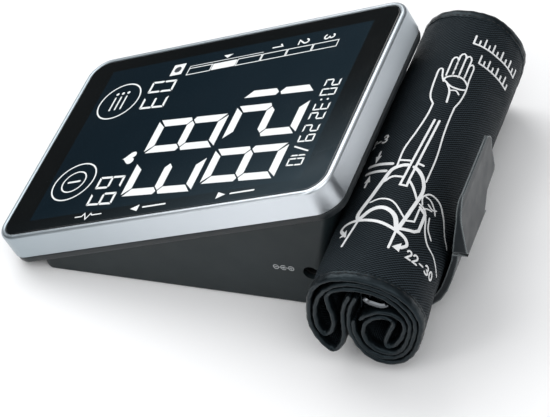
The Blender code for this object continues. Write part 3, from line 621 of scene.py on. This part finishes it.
class Marks:
    """Thin printed shapes collected into one mesh; put(u, v, lift) gives each point's place."""

    def __init__(self, put, thick=0.05, step=0.0):
        self.put, self.thick, self.step = put, thick, step
        self.verts, self.faces = [], []

    def ladder(self, rungs, closed=False):
        """A solid strip through pairs of 2D points."""
        start = len(self.verts)
        for left, right in rungs:
            for point in (left, right):
                for lift in (self.thick, 0.0):
                    self.verts.append(self.put(point[0], point[1], lift))
        count = len(rungs)
        for k in range(count if closed else count - 1):
            a, b = start + 4 * k, start + 4 * ((k + 1) % count)
            for p, q in ((0, 2), (2, 3), (3, 1), (1, 0)):
                self.faces.append((a + p, a + q, b + q, b + p))
        if not closed:
            last = start + 4 * (count - 1)
            self.faces.append((start, start + 1, start + 3, start + 2))
            self.faces.append((last, last + 1, last + 3, last + 2))

    def plate(self, points):
        """A flat filled polygon."""
        start, count = len(self.verts), len(points)
        for lift in (self.thick, 0.0):
            self.verts += [self.put(u, v, lift) for u, v in points]
        self.faces.append(tuple(range(start, start + count)))
        self.faces.append(tuple(range(start + count, start + 2 * count)))
        for k in range(count):
            n = (k + 1) % count
            self.faces.append((start + k, start + n, start + count + n, start + count + k))

    def disc(self, cx, cy, radius, steps=28):
        self.plate(arc(cx, cy, radius, radius, 0, 360, steps)[:-1])

    def dense(self, points, closed):
        pts = [Vector(p) for p in points]
        if closed:
            pts.append(pts[0])
        if not self.step:
            return pts[:-1] if closed else pts
        out = []
        for a, b in zip(pts, pts[1:]):
            count = max(1, round((b - a).length / self.step))
            out += [a.lerp(b, k / count) for k in range(count)]
        return out if closed else out + [pts[-1]]

    def stroke(self, points, width, closed=False):
        """A line of constant width with mitred corners and round ends."""
        pts = self.dense(points, closed)
        count, half, rungs = len(pts), width / 2, []
        for k, point in enumerate(pts):
            before = pts[k - 1] if closed or k else None
            after = pts[(k + 1) % count] if closed or k < count - 1 else None
            first = (point - before).normalized() if before is not None else None
            second = (after - point).normalized() if after is not None else None
            first, second = first or second, second or first
            side = Vector((-first.y - second.y, first.x + second.x))
            side = side.normalized() if side.length > 1e-6 else Vector((-first.y, first.x))
            stretch = half / max(side.dot(Vector((-first.y, first.x))), 0.55)
            rungs.append((point + side * stretch, point - side * stretch))
        if not closed:
            rungs = self.cap(rungs, pts[0], pts[1], half)[::-1] + rungs
            rungs += self.cap(rungs[::-1], pts[-1], pts[-2], half)
        self.ladder(rungs, closed)

    def cap(self, rungs, tip, inner, half):
        ahead = (tip - inner).normalized()
        across = (rungs[0][0] - rungs[0][1]).normalized()
        out = []
        for degrees in (35, 65, 84):
            a = math.radians(degrees)
            middle = tip + ahead * half * math.sin(a)
            reach = across * half * math.cos(a)
            out.append((middle + reach, middle - reach))
        return out

    def build(self, name, finish, body, slot):
        return new_piece(name, self.verts, self.faces, finish, body, smooth=False)


# ---------------------------------------------------------------- display marks

SEGMENTS = {
    "0": "abcdef", "1": "bc", "2": "abged", "3": "abgcd", "4": "fgbc",
    "5": "afgcd", "6": "afgedc", "7": "abc", "8": "abcdefg", "9": "abcdfg",
}
SCALE = 0.96875                 # display layout units to millimetres on the glass
SLANT = 0.092


def seven_segment(marks, digit, x, y, w, h, t, gap):
    """One slanted seven-segment digit; x, y is the low left corner of its upright cell."""
    m = h / 2
    g, e = gap, t * 0.12
    shapes = {
        "a": [(g + e, h), (w - g - e, h), (w - t - g, h - t), (t + g, h - t)],
        "d": [(g + e, 0), (w - g - e, 0), (w - t - g, t), (t + g, t)],
        "f": [(0, h - g - e), (t, h - t - g), (t, m + t / 2 + g), (t * 0.42, m + g), (0, m + g + t * 0.25)],
        "e": [(0, g + e), (t, t + g), (t, m - t / 2 - g), (t * 0.42, m - g), (0, m - g - t * 0.25)],
        "g": [(g + t * 0.45, m), (t + g, m + t / 2), (w - t - g, m + t / 2), (w - g - t * 0.45, m),
              (w - t - g, m - t / 2), (t + g, m - t / 2)],
    }
    for right, left in (("b", "f"), ("c", "e")):
        shapes[right] = [(w - u, v) for u, v in shapes[left]]
    for key in SEGMENTS[digit]:
        marks.plate([((x + u + SLANT * v) * SCALE, (y + v) * SCALE) for u, v in shapes[key]])


def scaled(points):
    return [(u * SCALE, v * SCALE) for u, v in points]


NUMERALS = {
    "0": (arc(0.3, 0.5, 0.24, 0.46, 90, 450, 24)[:-1], True),
    "1": ([(0.10, 0.78), (0.36, 0.97), (0.36, 0.03)], False),
    "2": (arc(0.3, 0.71, 0.24, 0.26, 165, -35, 12) + [(0.07, 0.04), (0.56, 0.04)], False),
    "3": (arc(0.29, 0.74, 0.22, 0.23, 150, -80, 12) + arc(0.29, 0.26, 0.25, 0.24, 80, -150, 12), False),
    "-": ([(0.12, 0.42), (0.50, 0.42)], False),
}


ADVANCE = 0.76                  # from one numeral to the next, in numeral heights


def write(marks, text, start, ahead, up, height, width):
    """Plain stroke numerals; ahead and up are unit directions on the surface."""
    at = Vector(start)
    ahead, up = Vector(ahead), Vector(up)
    for character in text:
        points, closed = NUMERALS[character]
        line = [tuple(at + ahead * u * height + up * v * height) for u, v in points]
        marks.stroke(line, width, closed)
        at += ahead * height * ADVANCE


def make_display(finish, dark):
    lift = 0.02
    put = lambda u, v, h: on_glass(u, v, lift + h)
    big = {"w": 19.6, "h": 37.0, "t": 4.0, "gap": 0.42}
    groups = []

    upper = Marks(put)
    for digit, x in zip("128", (-29.3, -4.8, 20.2)):
        seven_segment(upper, digit, x, 17.5, **big)
    groups.append(("upper_digits", upper))

    lower = Marks(put)
    for digit, x in zip("83", (-4.8, 20.2)):
        seven_segment(lower, digit, x, -22.4, **big)
    groups.append(("lower_digits", lower))

    small = Marks(put)
    for digit, x in zip("03", (-32.2, -22.3)):
        seven_segment(small, digit, x, -39.0, 7.2, 13.6, 1.15, 0.18)
    for digit, x in zip("69", (25.6, 35.2)):
        seven_segment(small, digit, x, -39.2, 7.0, 13.8, 1.15, 0.18)
    groups.append(("pulse_digits", small))

    clock = Marks(put)
    places = ((-11.9, "2"), (-6.4, "0"), (2.0, "3"), (7.4, "2"), (14.4, "2"), (20.0, "9"), (27.9, "1"),
              (33.2, "0"))
    for x, digit in places:
        seven_segment(clock, digit, x, 57.9, 4.2, 7.7, 0.72, 0.12)
    for y in (60.0, 63.2):
        clock.disc((0.1 + SLANT * (y - 57.9)) * SCALE, y * SCALE, 0.5)
    clock.stroke(scaled([(26.6, 58.0), (30.2, 65.4)]), 0.7)
    groups.append(("clock_digits", clock))

    scale_bar = Marks(put)
    cells = ((54.2, 42.1), (41.5, 29.3), (28.7, 16.6), (16.0, 3.9), (3.4, -9.0), (-9.6, -21.8))
    for k, (high, low) in enumerate(cells):
        box = scaled([(-36.8, low), (-32.8, low), (-32.8, high), (-36.8, high)])
        if k == 4:
            scale_bar.plate(box)
        else:
            scale_bar.stroke(box, 0.42, closed=True)
    scale_bar.stroke(scaled([(-38.2, 16.0), (-38.2, -21.8), (-37.0, -21.8)]), 0.3)
    for text, y in (("3", 45.9), ("2", 33.2), ("1", 20.2)):
        write(scale_bar, text, (-41.6 * SCALE, y * SCALE), (1, 0), (0, 1), 4.9, 0.72)
    scale_bar.plate(scaled([(-41.2, -0.6), (-41.2, -5.4), (-39.2, -3.0)]))
    groups.append(("range_scale", scale_bar))

    signs = Marks(put)
    signs.plate(scaled([(-41.0, -31.4), (-34.2, -31.4), (-34.2, -25.2), (-41.0, -25.2)]))
    heart = []
    for k in range(36):
        a = 2 * math.pi * k / 36
        u = 16 * math.sin(a) ** 3
        v = 13 * math.cos(a) - 5 * math.cos(2 * a) - 2 * math.cos(3 * a) - math.cos(4 * a)
        heart.append((16.3 + 0.225 * u, -28.6 + 0.225 * v))
    signs.plate(scaled(heart))
    signs.plate(scaled([(46.6, 30.0), (50.2, 30.0), (48.4, 34.0)]))
    signs.stroke(scaled([(48.4, 36.5), (48.4, 47.5)]), 0.8)
    signs.plate(scaled([(46.6, -9.0), (50.2, -9.0), (48.4, -13.0)]))
    signs.stroke(scaled([(48.4, -6.5), (48.4, 4.5)]), 0.8)
    pulse = [(48.4, -41.5), (48.4, -38.2), (46.8, -37.2), (50.4, -35.4), (47.4, -33.8), (48.4, -32.8),
             (48.4, -28.0)]
    signs.stroke(scaled(pulse), 0.55)
    groups.append(("status_signs", signs))

    touch = Marks(put)
    for cx, cy in ((25.7, -53.7), (-23.3, -53.6)):
        touch.stroke(scaled(arc(cx, cy, 10.7, 10.7, 0, 360, 72)[:-1]), 0.66, closed=True)
    touch.stroke(scaled(arc(25.7, -53.7, 5.9, 5.9, 0, 360, 48)[:-1]), 0.62, closed=True)
    touch.stroke(scaled([(25.7, -56.6), (25.7, -50.6)]), 0.95)
    for k, y in enumerate((-50.6, -53.6, -56.6)):
        touch.disc(-28.3 * SCALE, y * SCALE, 0.75, 16)
        touch.stroke(scaled([(-26.0, y), (-18.2, y)]), 0.75)
    groups.append(("touch_marks", touch))

    for name, marks in groups:
        marks.build(name, finish, "monitor", "lcd_glass")

    overlay = Marks(lambda u, v, h: on_glass(u, v, lift + 0.05 + h), 0.03)
    overlay.disc(-37.6 * SCALE, -28.3 * SCALE, 1.7)
    overlay.build("memory_dot", dark, "monitor", "lcd_glass")


def make_polarity_sign(finish):
    """Plug polarity symbol moulded beside the adapter hole."""
    wall = (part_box("base_shell")[1].x - ORIGIN.x) / MM
    sign = Marks(lambda u, v, h: place(wall + 0.01 + h, u, v), 0.06)
    y, z, width = 49.6, 19.4, 0.32
    for at in (y - 3.1, y + 3.1):
        sign.stroke(arc(at, z, 1.05, 1.05, 0, 360, 24)[:-1], width, closed=True)
        sign.stroke([(at - 0.55, z), (at + 0.55, z)], 0.28)
    sign.stroke([(y + 3.1, z - 0.55), (y + 3.1, z + 0.55)], 0.28)
    sign.stroke(arc(y, z, 1.15, 1.15, 50, 310, 20), width)
    sign.disc(y, z, 0.5, 18)
    sign.stroke([(y - 2.05, z), (y - 0.6, z)], width)
    sign.stroke([(y + 0.5, z), (y + 2.05, z)], width)
    sign.build("polarity_sign", finish, "monitor", "base_plastic")


# ---------------------------------------------------------------- rolled cuff

NEAR_X, FAR_X = 78.5, -69.0
TAPE = 4.5
PLY = 1.0                       # half thickness of the padded ply
EDGE_PLY = 0.72                 # half thickness where the tape squeezes it
OUTER_PATH = (
    (91.2, 39.4), (89.0, 35.6), (87.0, 31.0), (85.9, 26.0), (85.5, 20.6), (86.5, 15.6), (88.3, 11.2),
    (91.0, 7.7), (94.6, 5.7), (98.6, 5.45), (103.0, 6.9), (106.7, 10.0), (110.1, 15.4), (112.4, 21.9),
    (114.0, 27.6), (114.0, 30.9), (113.0, 35.2), (110.8, 39.7), (106.5, 44.0), (100.9, 47.0),
    (94.7, 48.5), (88.4, 48.5), (82.0, 46.9), (77.4, 44.0), (74.0, 39.7), (72.1, 34.8), (71.0, 29.4),
    (70.1, 23.9), (70.4, 19.8), (71.2, 15.7), (73.3, 11.4), (75.0, 8.9), (76.5, 7.9), (78.2, 8.8),
    (80.0, 10.8), (81.6, 14.2), (82.8, 18.5), (83.4, 24.0), (84.3, 30.0), (86.2, 35.4), (88.9, 40.0),
)
INNER_PATH = (
    (90.6, 27.6), (93.0, 29.9), (96.4, 32.1), (100.4, 33.1), (104.2, 32.4), (106.9, 30.2), (107.7, 27.6),
    (107.0, 24.0), (105.4, 20.2), (103.0, 16.6), (100.6, 14.6), (98.9, 14.3), (98.4, 15.6), (99.0, 17.8),
    (100.6, 21.4), (102.4, 25.0), (103.6, 27.6), (103.5, 29.4), (101.6, 30.4), (98.4, 30.1), (95.0, 28.5),
    (92.4, 25.6), (90.9, 21.8), (90.7, 17.6), (92.2, 13.9), (95.2, 11.4), (99.0, 10.7), (102.6, 11.9),
    (104.9, 14.4), (107.0, 18.2), (108.6, 22.6), (109.7, 27.2), (109.6, 30.6), (108.2, 34.2), (105.6, 38.0),
    (102.2, 40.9), (98.0, 42.7), (93.6, 43.4), (88.8, 43.2), (84.0, 42.0), (80.4, 39.6), (79.0, 36.2),
    (79.2, 32.0), (79.9, 27.6), (79.6, 22.8), (78.0, 18.8), (75.9, 16.5), (74.1, 16.9), (72.9, 20.0),
    (72.7, 25.0), (73.6, 30.6), (75.8, 36.2), (79.2, 40.8), (83.6, 44.1), (88.8, 45.8), (94.4, 45.9),
    (100.2, 44.6), (105.2, 41.7), (109.1, 37.6), (111.3, 33.2), (111.9, 28.4), (110.6, 22.8), (108.4, 16.8),
    (105.2, 11.8), (101.2, 8.9), (97.2, 7.9), (93.4, 8.6), (90.3, 11.1), (88.3, 15.0), (87.4, 19.4),
    (87.3, 23.6), (88.1, 27.0),
)


def squeeze(x, y, z):
    """The holder and the looser far end draw the right side of the roll in a little."""
    inward = 1.9 * ease((76.0 - x) / 26.0) + 0.35 * max(0.0, 48.0 - x) / 116.0
    return Vector((x, y - inward * ease((y - 99.0) / 13.0), z))


class Strip:
    """A ply of the cuff: a smooth path in y and z, with offset lines on both sides of it."""

    def __init__(self, path, step):
        self.points, self.length = even_steps(curve_through(path), step)
        count = len(self.points)
        self.step = self.length / (count - 1)
        self.normals = []
        for k in range(count):
            ahead = self.points[min(k + 1, count - 1)] - self.points[max(k - 1, 0)]
            ahead.normalize()
            self.normals.append(Vector((ahead.y, -ahead.x)))
        self.sides = {side: self.offset(side) for side in (1, -1)}

    def offset(self, side):
        """Unit offsets, smoothed so that the inside of a tight fold doesn't cross itself."""
        reach = PLY
        line = [p + n * side * reach for p, n in zip(self.points, self.normals)]
        for _ in range(3):
            line = ([line[0]] + [(a + 2 * b + c) / 4 for a, b, c in zip(line, line[1:], line[2:])]
                    + [line[-1]])
        return [(p - q) / reach for p, q in zip(line, self.points)]

    def at(self, x, k, height, wave):
        """Point k of the path at x, height above (+) or below (-) the middle of the rippled ply."""
        side = 1 if height >= 0 else -1
        flat = self.points[k] + self.sides[side][k] * abs(height)
        spot = squeeze(x, flat.x, flat.y)
        spot.y += self.normals[k].x * wave
        spot.z += self.normals[k].y * wave
        return spot


def seam_gap(x):
    """How far x lies inside the nearer binding tape."""
    return min(NEAR_X - TAPE - x, x - FAR_X - TAPE)


def ripple(x, s, seed):
    """Gentle unevenness of the cloth, with puckers beside the sewn edges."""
    wide = 0.24 * noise.noise(Vector((x / 21.0, s / 15.0, seed)))
    fine = 0.07 * noise.noise(Vector((x / 6.0, s / 5.0, seed + 7.0)))
    near = math.exp(-max(seam_gap(x), 0.0) / 4.5)
    drift = 0.5 * noise.noise(Vector((s / 9.0, seed, x / 40.0)))
    pucker = 0.13 * near * math.sin(2 * math.pi * (s / 5.2 + drift))
    return (wide + fine) * (1.0 - 0.7 * near) + pucker


def ply_half(x):
    return EDGE_PLY + (PLY - EDGE_PLY) * ease(seam_gap(x) / 5.0)


def cross_stations(step):
    """x positions along the roll, closer together beside the sewn edges."""
    stations = []
    x = FAR_X + 1.2
    while x < NEAR_X - 1.2:
        stations.append(x)
        x += 1.0 if seam_gap(x) < 8.0 else step
    stations.append(NEAR_X - 1.2)
    return stations


def grid_faces(rows, columns, start, flip):
    faces = []
    for i in range(rows - 1):
        for j in range(columns - 1):
            a = start + i * columns + j
            quad = (a, a + 1, a + columns + 1, a + columns)
            faces.append(quad[::-1] if flip else quad)
    return faces


def sheet_faces(rows, columns):
    """Faces of a thin closed sheet: its upper grid, its lower grid and the rim between them."""
    under = rows * columns
    last = under - columns
    rim = [(i * columns, (i + 1) * columns) for i in range(rows - 1)]
    rim += [((i + 1) * columns - 1, (i + 2) * columns - 1) for i in range(rows - 1)]
    rim += [(j, j + 1) for j in range(columns - 1)]
    rim += [(last + j, last + j + 1) for j in range(columns - 1)]
    faces = grid_faces(rows, columns, 0, False) + grid_faces(rows, columns, under, True)
    return faces + [(a, b, b + under, a + under) for a, b in rim]


def tube_faces(rings, sides, start=0):
    """Faces of a closed tube made of rings of points, with both ends capped."""
    faces = []
    for i in range(rings - 1):
        a, b = start + i * sides, start + (i + 1) * sides
        for k in range(sides):
            n = (k + 1) % sides
            faces.append((a + k, a + n, b + n, b + k))
    last = start + (rings - 1) * sides
    return faces + [tuple(range(start, start + sides)), tuple(range(last, last + sides))]


def store_cloth(piece, values):
    layer = piece.data.attributes.new("cloth", "FLOAT_VECTOR", "POINT")
    layer.data.foreach_set("vector", [c for v in values for c in v])


def make_ply(name, strip, seed, finish):
    """The padded strip as one closed mesh."""
    stations = cross_stations(2.6)
    rows, columns = len(strip.points), len(stations)
    verts, cloth = [], []
    for side in (1, -1):
        for k in range(rows):
            s = k * strip.step
            taper = min(1.0, 0.35 + min(s, strip.length - s) / 3.0)
            for x in stations:
                height = side * ply_half(x) * taper
                verts.append(place(*strip.at(x, k, height, ripple(x, s, seed))))
                cloth.append((x, s, side))
    piece = new_piece(name, verts, sheet_faces(rows, columns), finish, "cuff")
    store_cloth(piece, cloth)
    return piece


SEAM = 0.95                     # the stitches lie this far inside the binding's inner edge
TAPE_PROFILE = (                # distance in from the edge, height above the middle of the ply
    (TAPE, 0.74), (TAPE - 0.15, 1.0), (TAPE - SEAM + 0.4, 1.04), (TAPE - SEAM, 0.84),
    (TAPE - SEAM - 0.4, 1.02), (2.4, 1.10), (1.6, 1.08), (0.9, 0.96), (0.35, 0.66), (0.0, 0.0),
)


def make_tape(name, strip, end, inward, seed, finish):
    """Binding tape folded over the edge of a strip; inward is -1 at the near end, +1 at the far one."""
    profile = [(d, h) for d, h in TAPE_PROFILE] + [(d, -h) for d, h in TAPE_PROFILE[-2::-1]]
    rows, columns = len(strip.points), len(profile)
    verts, cloth = [], []
    for k in range(rows):
        s = k * strip.step
        taper = min(1.0, 0.55 + min(s, strip.length - s) / 3.0)
        for d, h in profile:
            x = end + inward * d
            wave = ripple(x, s, seed) * 0.8
            swell = 1.0 + 0.05 * noise.noise(Vector((s / 4.0, end, seed)))
            spot = strip.at(x, k, h * taper * swell, wave)
            spot.x += inward * 0.35 * (0.5 + 0.5 * noise.noise(Vector((s / 12.0, end, seed + 3.0))))
            verts.append(place(*spot))
            cloth.append((d, s, h))
    piece = new_piece(name, verts, tube_faces(rows, columns), finish, "cuff", sharp=60)
    store_cloth(piece, cloth)
    return piece


class Skin:
    """The outside of the finished outer ply, addressed by x and by arc length from its crest."""

    def __init__(self, strip, pieces):
        self.strip = strip
        crest = max(range(len(strip.points)), key=lambda k: strip.points[k].y + strip.normals[k].y)
        self.crest = crest * strip.step
        verts, faces = [], []
        for piece in pieces:
            start = len(verts)
            verts += [v.co.copy() for v in piece.data.vertices]
            faces += [tuple(start + v for v in p.vertices) for p in piece.data.polygons]
        self.tree = BVHTree.FromPolygons(verts, faces)

    def at(self, x, s, lift):
        """s grows from the crest towards the back of the roll."""
        strip = self.strip
        want = (self.crest - s) / strip.step
        k = min(max(int(math.floor(want)), 0), len(strip.points) - 2)
        t = want - k
        outward = strip.normals[k].lerp(strip.normals[k + 1], t).normalized()
        middle = strip.points[k].lerp(strip.points[k + 1], t)
        spot = squeeze(x, middle.x, middle.y)
        away = Vector((0.0, outward.x, outward.y))
        start = place(*(spot + away * 4.0))
        hit = self.tree.ray_cast(start, -away, 6.0 * MM)[0]
        if hit is None:
            hit = place(*(spot + away * PLY))
        return hit + away * lift * MM


def make_print(skin, finish):
    """White picture on the cuff, with tick scales where the photo has words.

    It isn't a design of its own: its strokes, points (x, s) in millimetres on the cuff, were read
    off the instruction drawing in the photo.  That is an open fault.
    """
    marks = Marks(lambda u, v, h: skin.at(u, v, 0.01 + h), 0.07, 0.9)
    line = 0.68

    def smooth(points, width=line, per=6):
        marks.stroke([tuple(p) for p in curve_through(points, per)], width)

    # forearm and open hand
    smooth([(20.5, -0.9), (11, -1.0), (1, 0.8), (-8, 2.1), (-14.2, 2.3)])
    smooth([(24.5, 11.6), (12, 11.7), (0, 10.7), (-9, 10.4), (-15, 10.5)])
    smooth([(-14.2, 2.3), (-17.5, 0.4), (-22, -0.5), (-31.5, -1.0), (-33.7, -0.6), (-33.4, 0.5), (-30, 1.3),
            (-27, 2.6)])
    smooth([(-15, 10.5), (-19.5, 11.7), (-25, 12.2), (-30, 11.8)])
    for low, high, tip in ((2.6, 4.9, -41.0), (4.9, 7.2, -43.6), (7.2, 9.5, -43.0), (9.5, 11.7, -39.2)):
        middle = (low + high) / 2
        finger = [(-30.5, low), (tip + 1.6, low), (tip + 0.4, low + 0.5), (tip, middle),
                  (tip + 0.4, high - 0.5), (tip + 1.6, high), (-30.5, high)]
        marks.stroke(finger, 0.66)
    smooth([(-27.4, 2.4), (-29.6, 3.2), (-31.0, 6.6), (-30.2, 9.6), (-28.0, 12.0)], 0.75)
    smooth([(-27.4, 3.0), (-25.0, 6.0), (-24.6, 9.4), (-25.6, 12.0)], 0.75)
    smooth([(-26.6, 4.0), (-22.4, 6.2), (-16.4, 6.9)], 0.75)
    smooth([(-22.8, 6.2), (-23.4, 8.4), (-22.0, 10.0)], 0.6)
    # sleeve on the upper arm with its tube
    smooth([(49.0, -7.0), (45.0, -8.0), (36.0, -5.6), (26.0, -3.3), (22.2, -2.0), (19.8, 1.0),
            (19.2, 3.0)], 1.5)
    smooth([(19.6, 5.4), (21.4, 8.0), (25.0, 10.6), (30.0, 11.9), (40.0, 10.4), (51.6, 8.4)], 1.5)
    smooth([(48.4, -6.8), (43.4, -3.4), (42.0, 1.0), (44.8, 5.6), (51.2, 8.3)], 1.7)
    smooth([(39.6, -5.2), (37.6, -1.6), (38.4, 3.2), (44.4, 8.9)])
    smooth([(28.6, -3.2), (26.0, -1.0), (25.4, 3.0)], 0.9)
    smooth([(26.6, 5.6), (29.0, 7.6), (34.0, 10.8)], 0.9)
    marks.stroke([(-6.0, 5.4), (29.4, 2.9), (29.4, 5.4), (26.0, 5.4), (-6.0, 7.2)], 0.85)
    smooth([(17.3, -0.6), (16.9, 3.0)], 0.9)
    smooth([(17.4, 6.2), (17.8, 8.2)], 0.9)
    # wrapping arrow
    smooth([(54.6, -11.4), (52.6, -12.9), (50.4, -11.8), (49.0, -7.4), (49.0, -1.0), (49.8, 3.4), (51.6, 8.4),
            (53.4, 12.6), (55.8, 14.2), (58.0, 12.4)], 1.3)
    marks.plate([(57.2, -9.0), (56.6, -12.2), (53.4, -10.0)])
    marks.plate([(56.0, 12.0), (60.2, 12.2), (59.0, 9.0)])
    smooth([(61.8, -9.0), (49.4, -6.9)], 0.9)
    smooth([(60.0, 8.0), (52.0, 8.2)], 0.9)
    # strap end and the hand that pulls it
    marks.stroke([(50.2, 9.0), (48.4, 15.0), (46.8, 16.6), (38.6, 16.6), (36.8, 13.4)], 1.3)
    marks.stroke([(45.4, 10.4), (44.2, 13.4), (38.0, 13.4)], 0.8)
    smooth([(55.0, 32.6), (51.4, 27.0), (49.6, 22.2), (45.4, 19.2), (40.0, 17.4), (36.6, 15.6),
            (35.4, 12.6)])
    smooth([(41.4, 32.6), (39.4, 28.2), (33.4, 24.0), (29.4, 20.4), (28.8, 15.6), (31.6, 12.8),
            (35.0, 13.8)])
    smooth([(46.6, 22.8), (43.4, 20.0), (38.6, 18.8)], 0.6)
    smooth([(33.4, 16.2), (34.4, 18.6), (33.6, 20.4)], 0.6)
    smooth([(37.2, 14.6), (35.6, 16.2), (35.2, 18.6)], 0.6)
    smooth([(30.8, 14.0), (31.2, 16.6), (33.4, 19.2), (35.8, 20.6)], 0.6)
    # range bars and arrows
    marks.stroke([(23.3, -12.8), (23.2, -4.4)], 1.35)
    marks.stroke([(19.4, -13.0), (19.4, -3.0)], 1.35)
    for tail, sign in ((31.0, -1), (12.0, 1)):
        marks.stroke([(tail, -10.4), (tail + sign * 2.6, -10.4)], 0.9)
        head, tip = tail + sign * 2.4, tail + sign * 6.2
        marks.plate([(head, -11.7), (head, -9.1), (tip, -10.4)][::sign])
    write(marks, "2-3", (6.8, -18.2), (0, 1), (-1, 0), 4.0, 0.78)
    write(marks, "22-30", (61.0, 15.2), (0, 1), (-1, 0), 3.9, 0.74)
    # tick scales in place of words
    for base, start, count in ((-50.4, 7.6, 11), (-41.6, 12.8, 8)):
        marks.stroke([(base, start), (base, start + 2.3 * (count - 1))], 0.75)
        for k in range(count):
            reach = 4.4 if k % 2 == 0 else 2.5
            s = start + 2.3 * k
            marks.stroke([(base, s), (base - reach, s)], 0.75)
    return marks.build("cuff_picture", finish, "cuff", "woven_fabric")


def make_stitches(name, skin, x, finish):
    """A row of short stitches round the outside, sunk into the binding."""
    verts, faces = [], []
    strip = skin.strip
    pitch, half, width, high = 2.5, 0.8, 0.22, 0.16
    s = skin.crest - 2.0
    rings = ((-1.0, 0.25), (-0.7, 0.8), (0.0, 1.0), (0.7, 0.8), (1.0, 0.25))
    sides = 6
    while s > skin.crest - strip.length + 2.0:
        start = len(verts)
        for u, share in rings:
            for k in range(sides):
                a = 2 * math.pi * k / sides
                lift = high * share * math.sin(a)
                verts.append(skin.at(x + width * share * math.cos(a), s + u * half, lift))
        faces += tube_faces(len(rings), sides, start)
        s -= pitch
    return new_piece(name, verts, faces, finish, "cuff")


def make_bar_loop(finish):
    """Thin fabric loop round the long wire of the metal bar."""
    path = ((89.9, 29.2), (90.5, 32.2), (91.05, 35.4), (91.5, 38.2), (93.1, 40.1), (95.1, 39.0),
            (94.8, 36.7), (93.5, 33.8), (92.0, 31.2))
    step = 0.9
    points, _ = even_steps(curve_through(path), step)
    half, span = 0.42, (-58.6, 73.2)
    stations = [span[0] + (span[1] - span[0]) * k / 46 for k in range(47)]
    verts, cloth = [], []
    rows, columns = len(points), len(stations)
    for side in (1, -1):
        for k, point in enumerate(points):
            ahead = (points[min(k + 1, rows - 1)] - points[max(k - 1, 0)]).normalized()
            normal = Vector((ahead.y, -ahead.x))
            for x in stations:
                wave = 0.15 * noise.noise(Vector((x / 12.0, k / 5.0, 31.0)))
                spot = point + normal * (side * half + wave)
                verts.append(place(x, spot.x, spot.y))
                cloth.append((x, k * step, side))
    piece = new_piece("cuff_bar_loop", verts, sheet_faces(rows, columns), finish, "cuff")
    store_cloth(piece, cloth)


PORT_X = -6.0
BOOT_PROFILE = ((3.9, 12.0), (4.3, 12.3), (4.2, 12.9), (3.3, 13.3), (2.7, 13.9), (2.6, 14.7))


def make_port_boot(finish):
    """Rubber collar welded to the inner ply, which carries the hose fitting."""
    low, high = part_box("cuff_air_port")
    middle = ((low + high) / 2 - ORIGIN) / MM
    steps = 32
    verts = []
    for radius, z in BOOT_PROFILE:
        for k in range(steps):
            a = 2 * math.pi * k / steps
            verts.append(place(PORT_X + radius * math.cos(a), middle.y + radius * math.sin(a), z))
    faces = tube_faces(len(BOOT_PROFILE), steps)
    new_piece("cuff_port_boot", verts, faces, finish, "cuff", sharp=50)


def make_cuff():
    twill, tape = twill_finish(), tape_finish()
    outer, inner = Strip(OUTER_PATH, 1.25), Strip(INNER_PATH, 1.25)
    cover = make_ply("cuff_outer_ply", outer, 2.0, twill)
    roll = make_ply("cuff_inner_ply", inner, 11.0, twill)
    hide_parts("cuff_wrap")
    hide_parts("cuff_bladder")
    tapes = {}
    for end, inward, side in ((NEAR_X, -1, "right"), (FAR_X, 1, "left")):
        for strip, part, seed in ((outer, "outer", 2.0), (inner, "inner", 11.0)):
            name = f"cuff_tape_{side}_{part}"
            tapes[name] = make_tape(name, strip, end, inward, seed, tape)
            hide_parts(f"cuff_binding_{side}")
    skin = Skin(outer, [cover, tapes["cuff_tape_right_outer"], tapes["cuff_tape_left_outer"]])
    thread = moulded("sewing_thread", (0.012, 0.013, 0.014), (0.020, 0.021, 0.022), 0.6, 0.3, 0.02, 0.0)
    make_stitches("cuff_stitches_right", skin, NEAR_X - TAPE + SEAM, thread)
    make_stitches("cuff_stitches_left", skin, FAR_X + TAPE - SEAM, thread)
    make_print(skin, ink("cuff_ink", (0.80, 0.81, 0.82)))
    make_bar_loop(tape)
    make_port_boot(moulded("boot_rubber", (0.012, 0.012, 0.013), (0.022, 0.022, 0.023), 0.6, 0.5, 0.02))


# ---------------------------------------------------------------- put together

make_stage()
make_floor(floor_finish().material)
paint_nodes()
smooth_nodes()
lit = ink("display_white", (0.78, 0.80, 0.80), 0.12)
make_display(lit, ink("display_dark", (0.012, 0.02, 0.03)))
make_polarity_sign(ink("symbol_grey", (0.42, 0.44, 0.45)))
make_cuff()
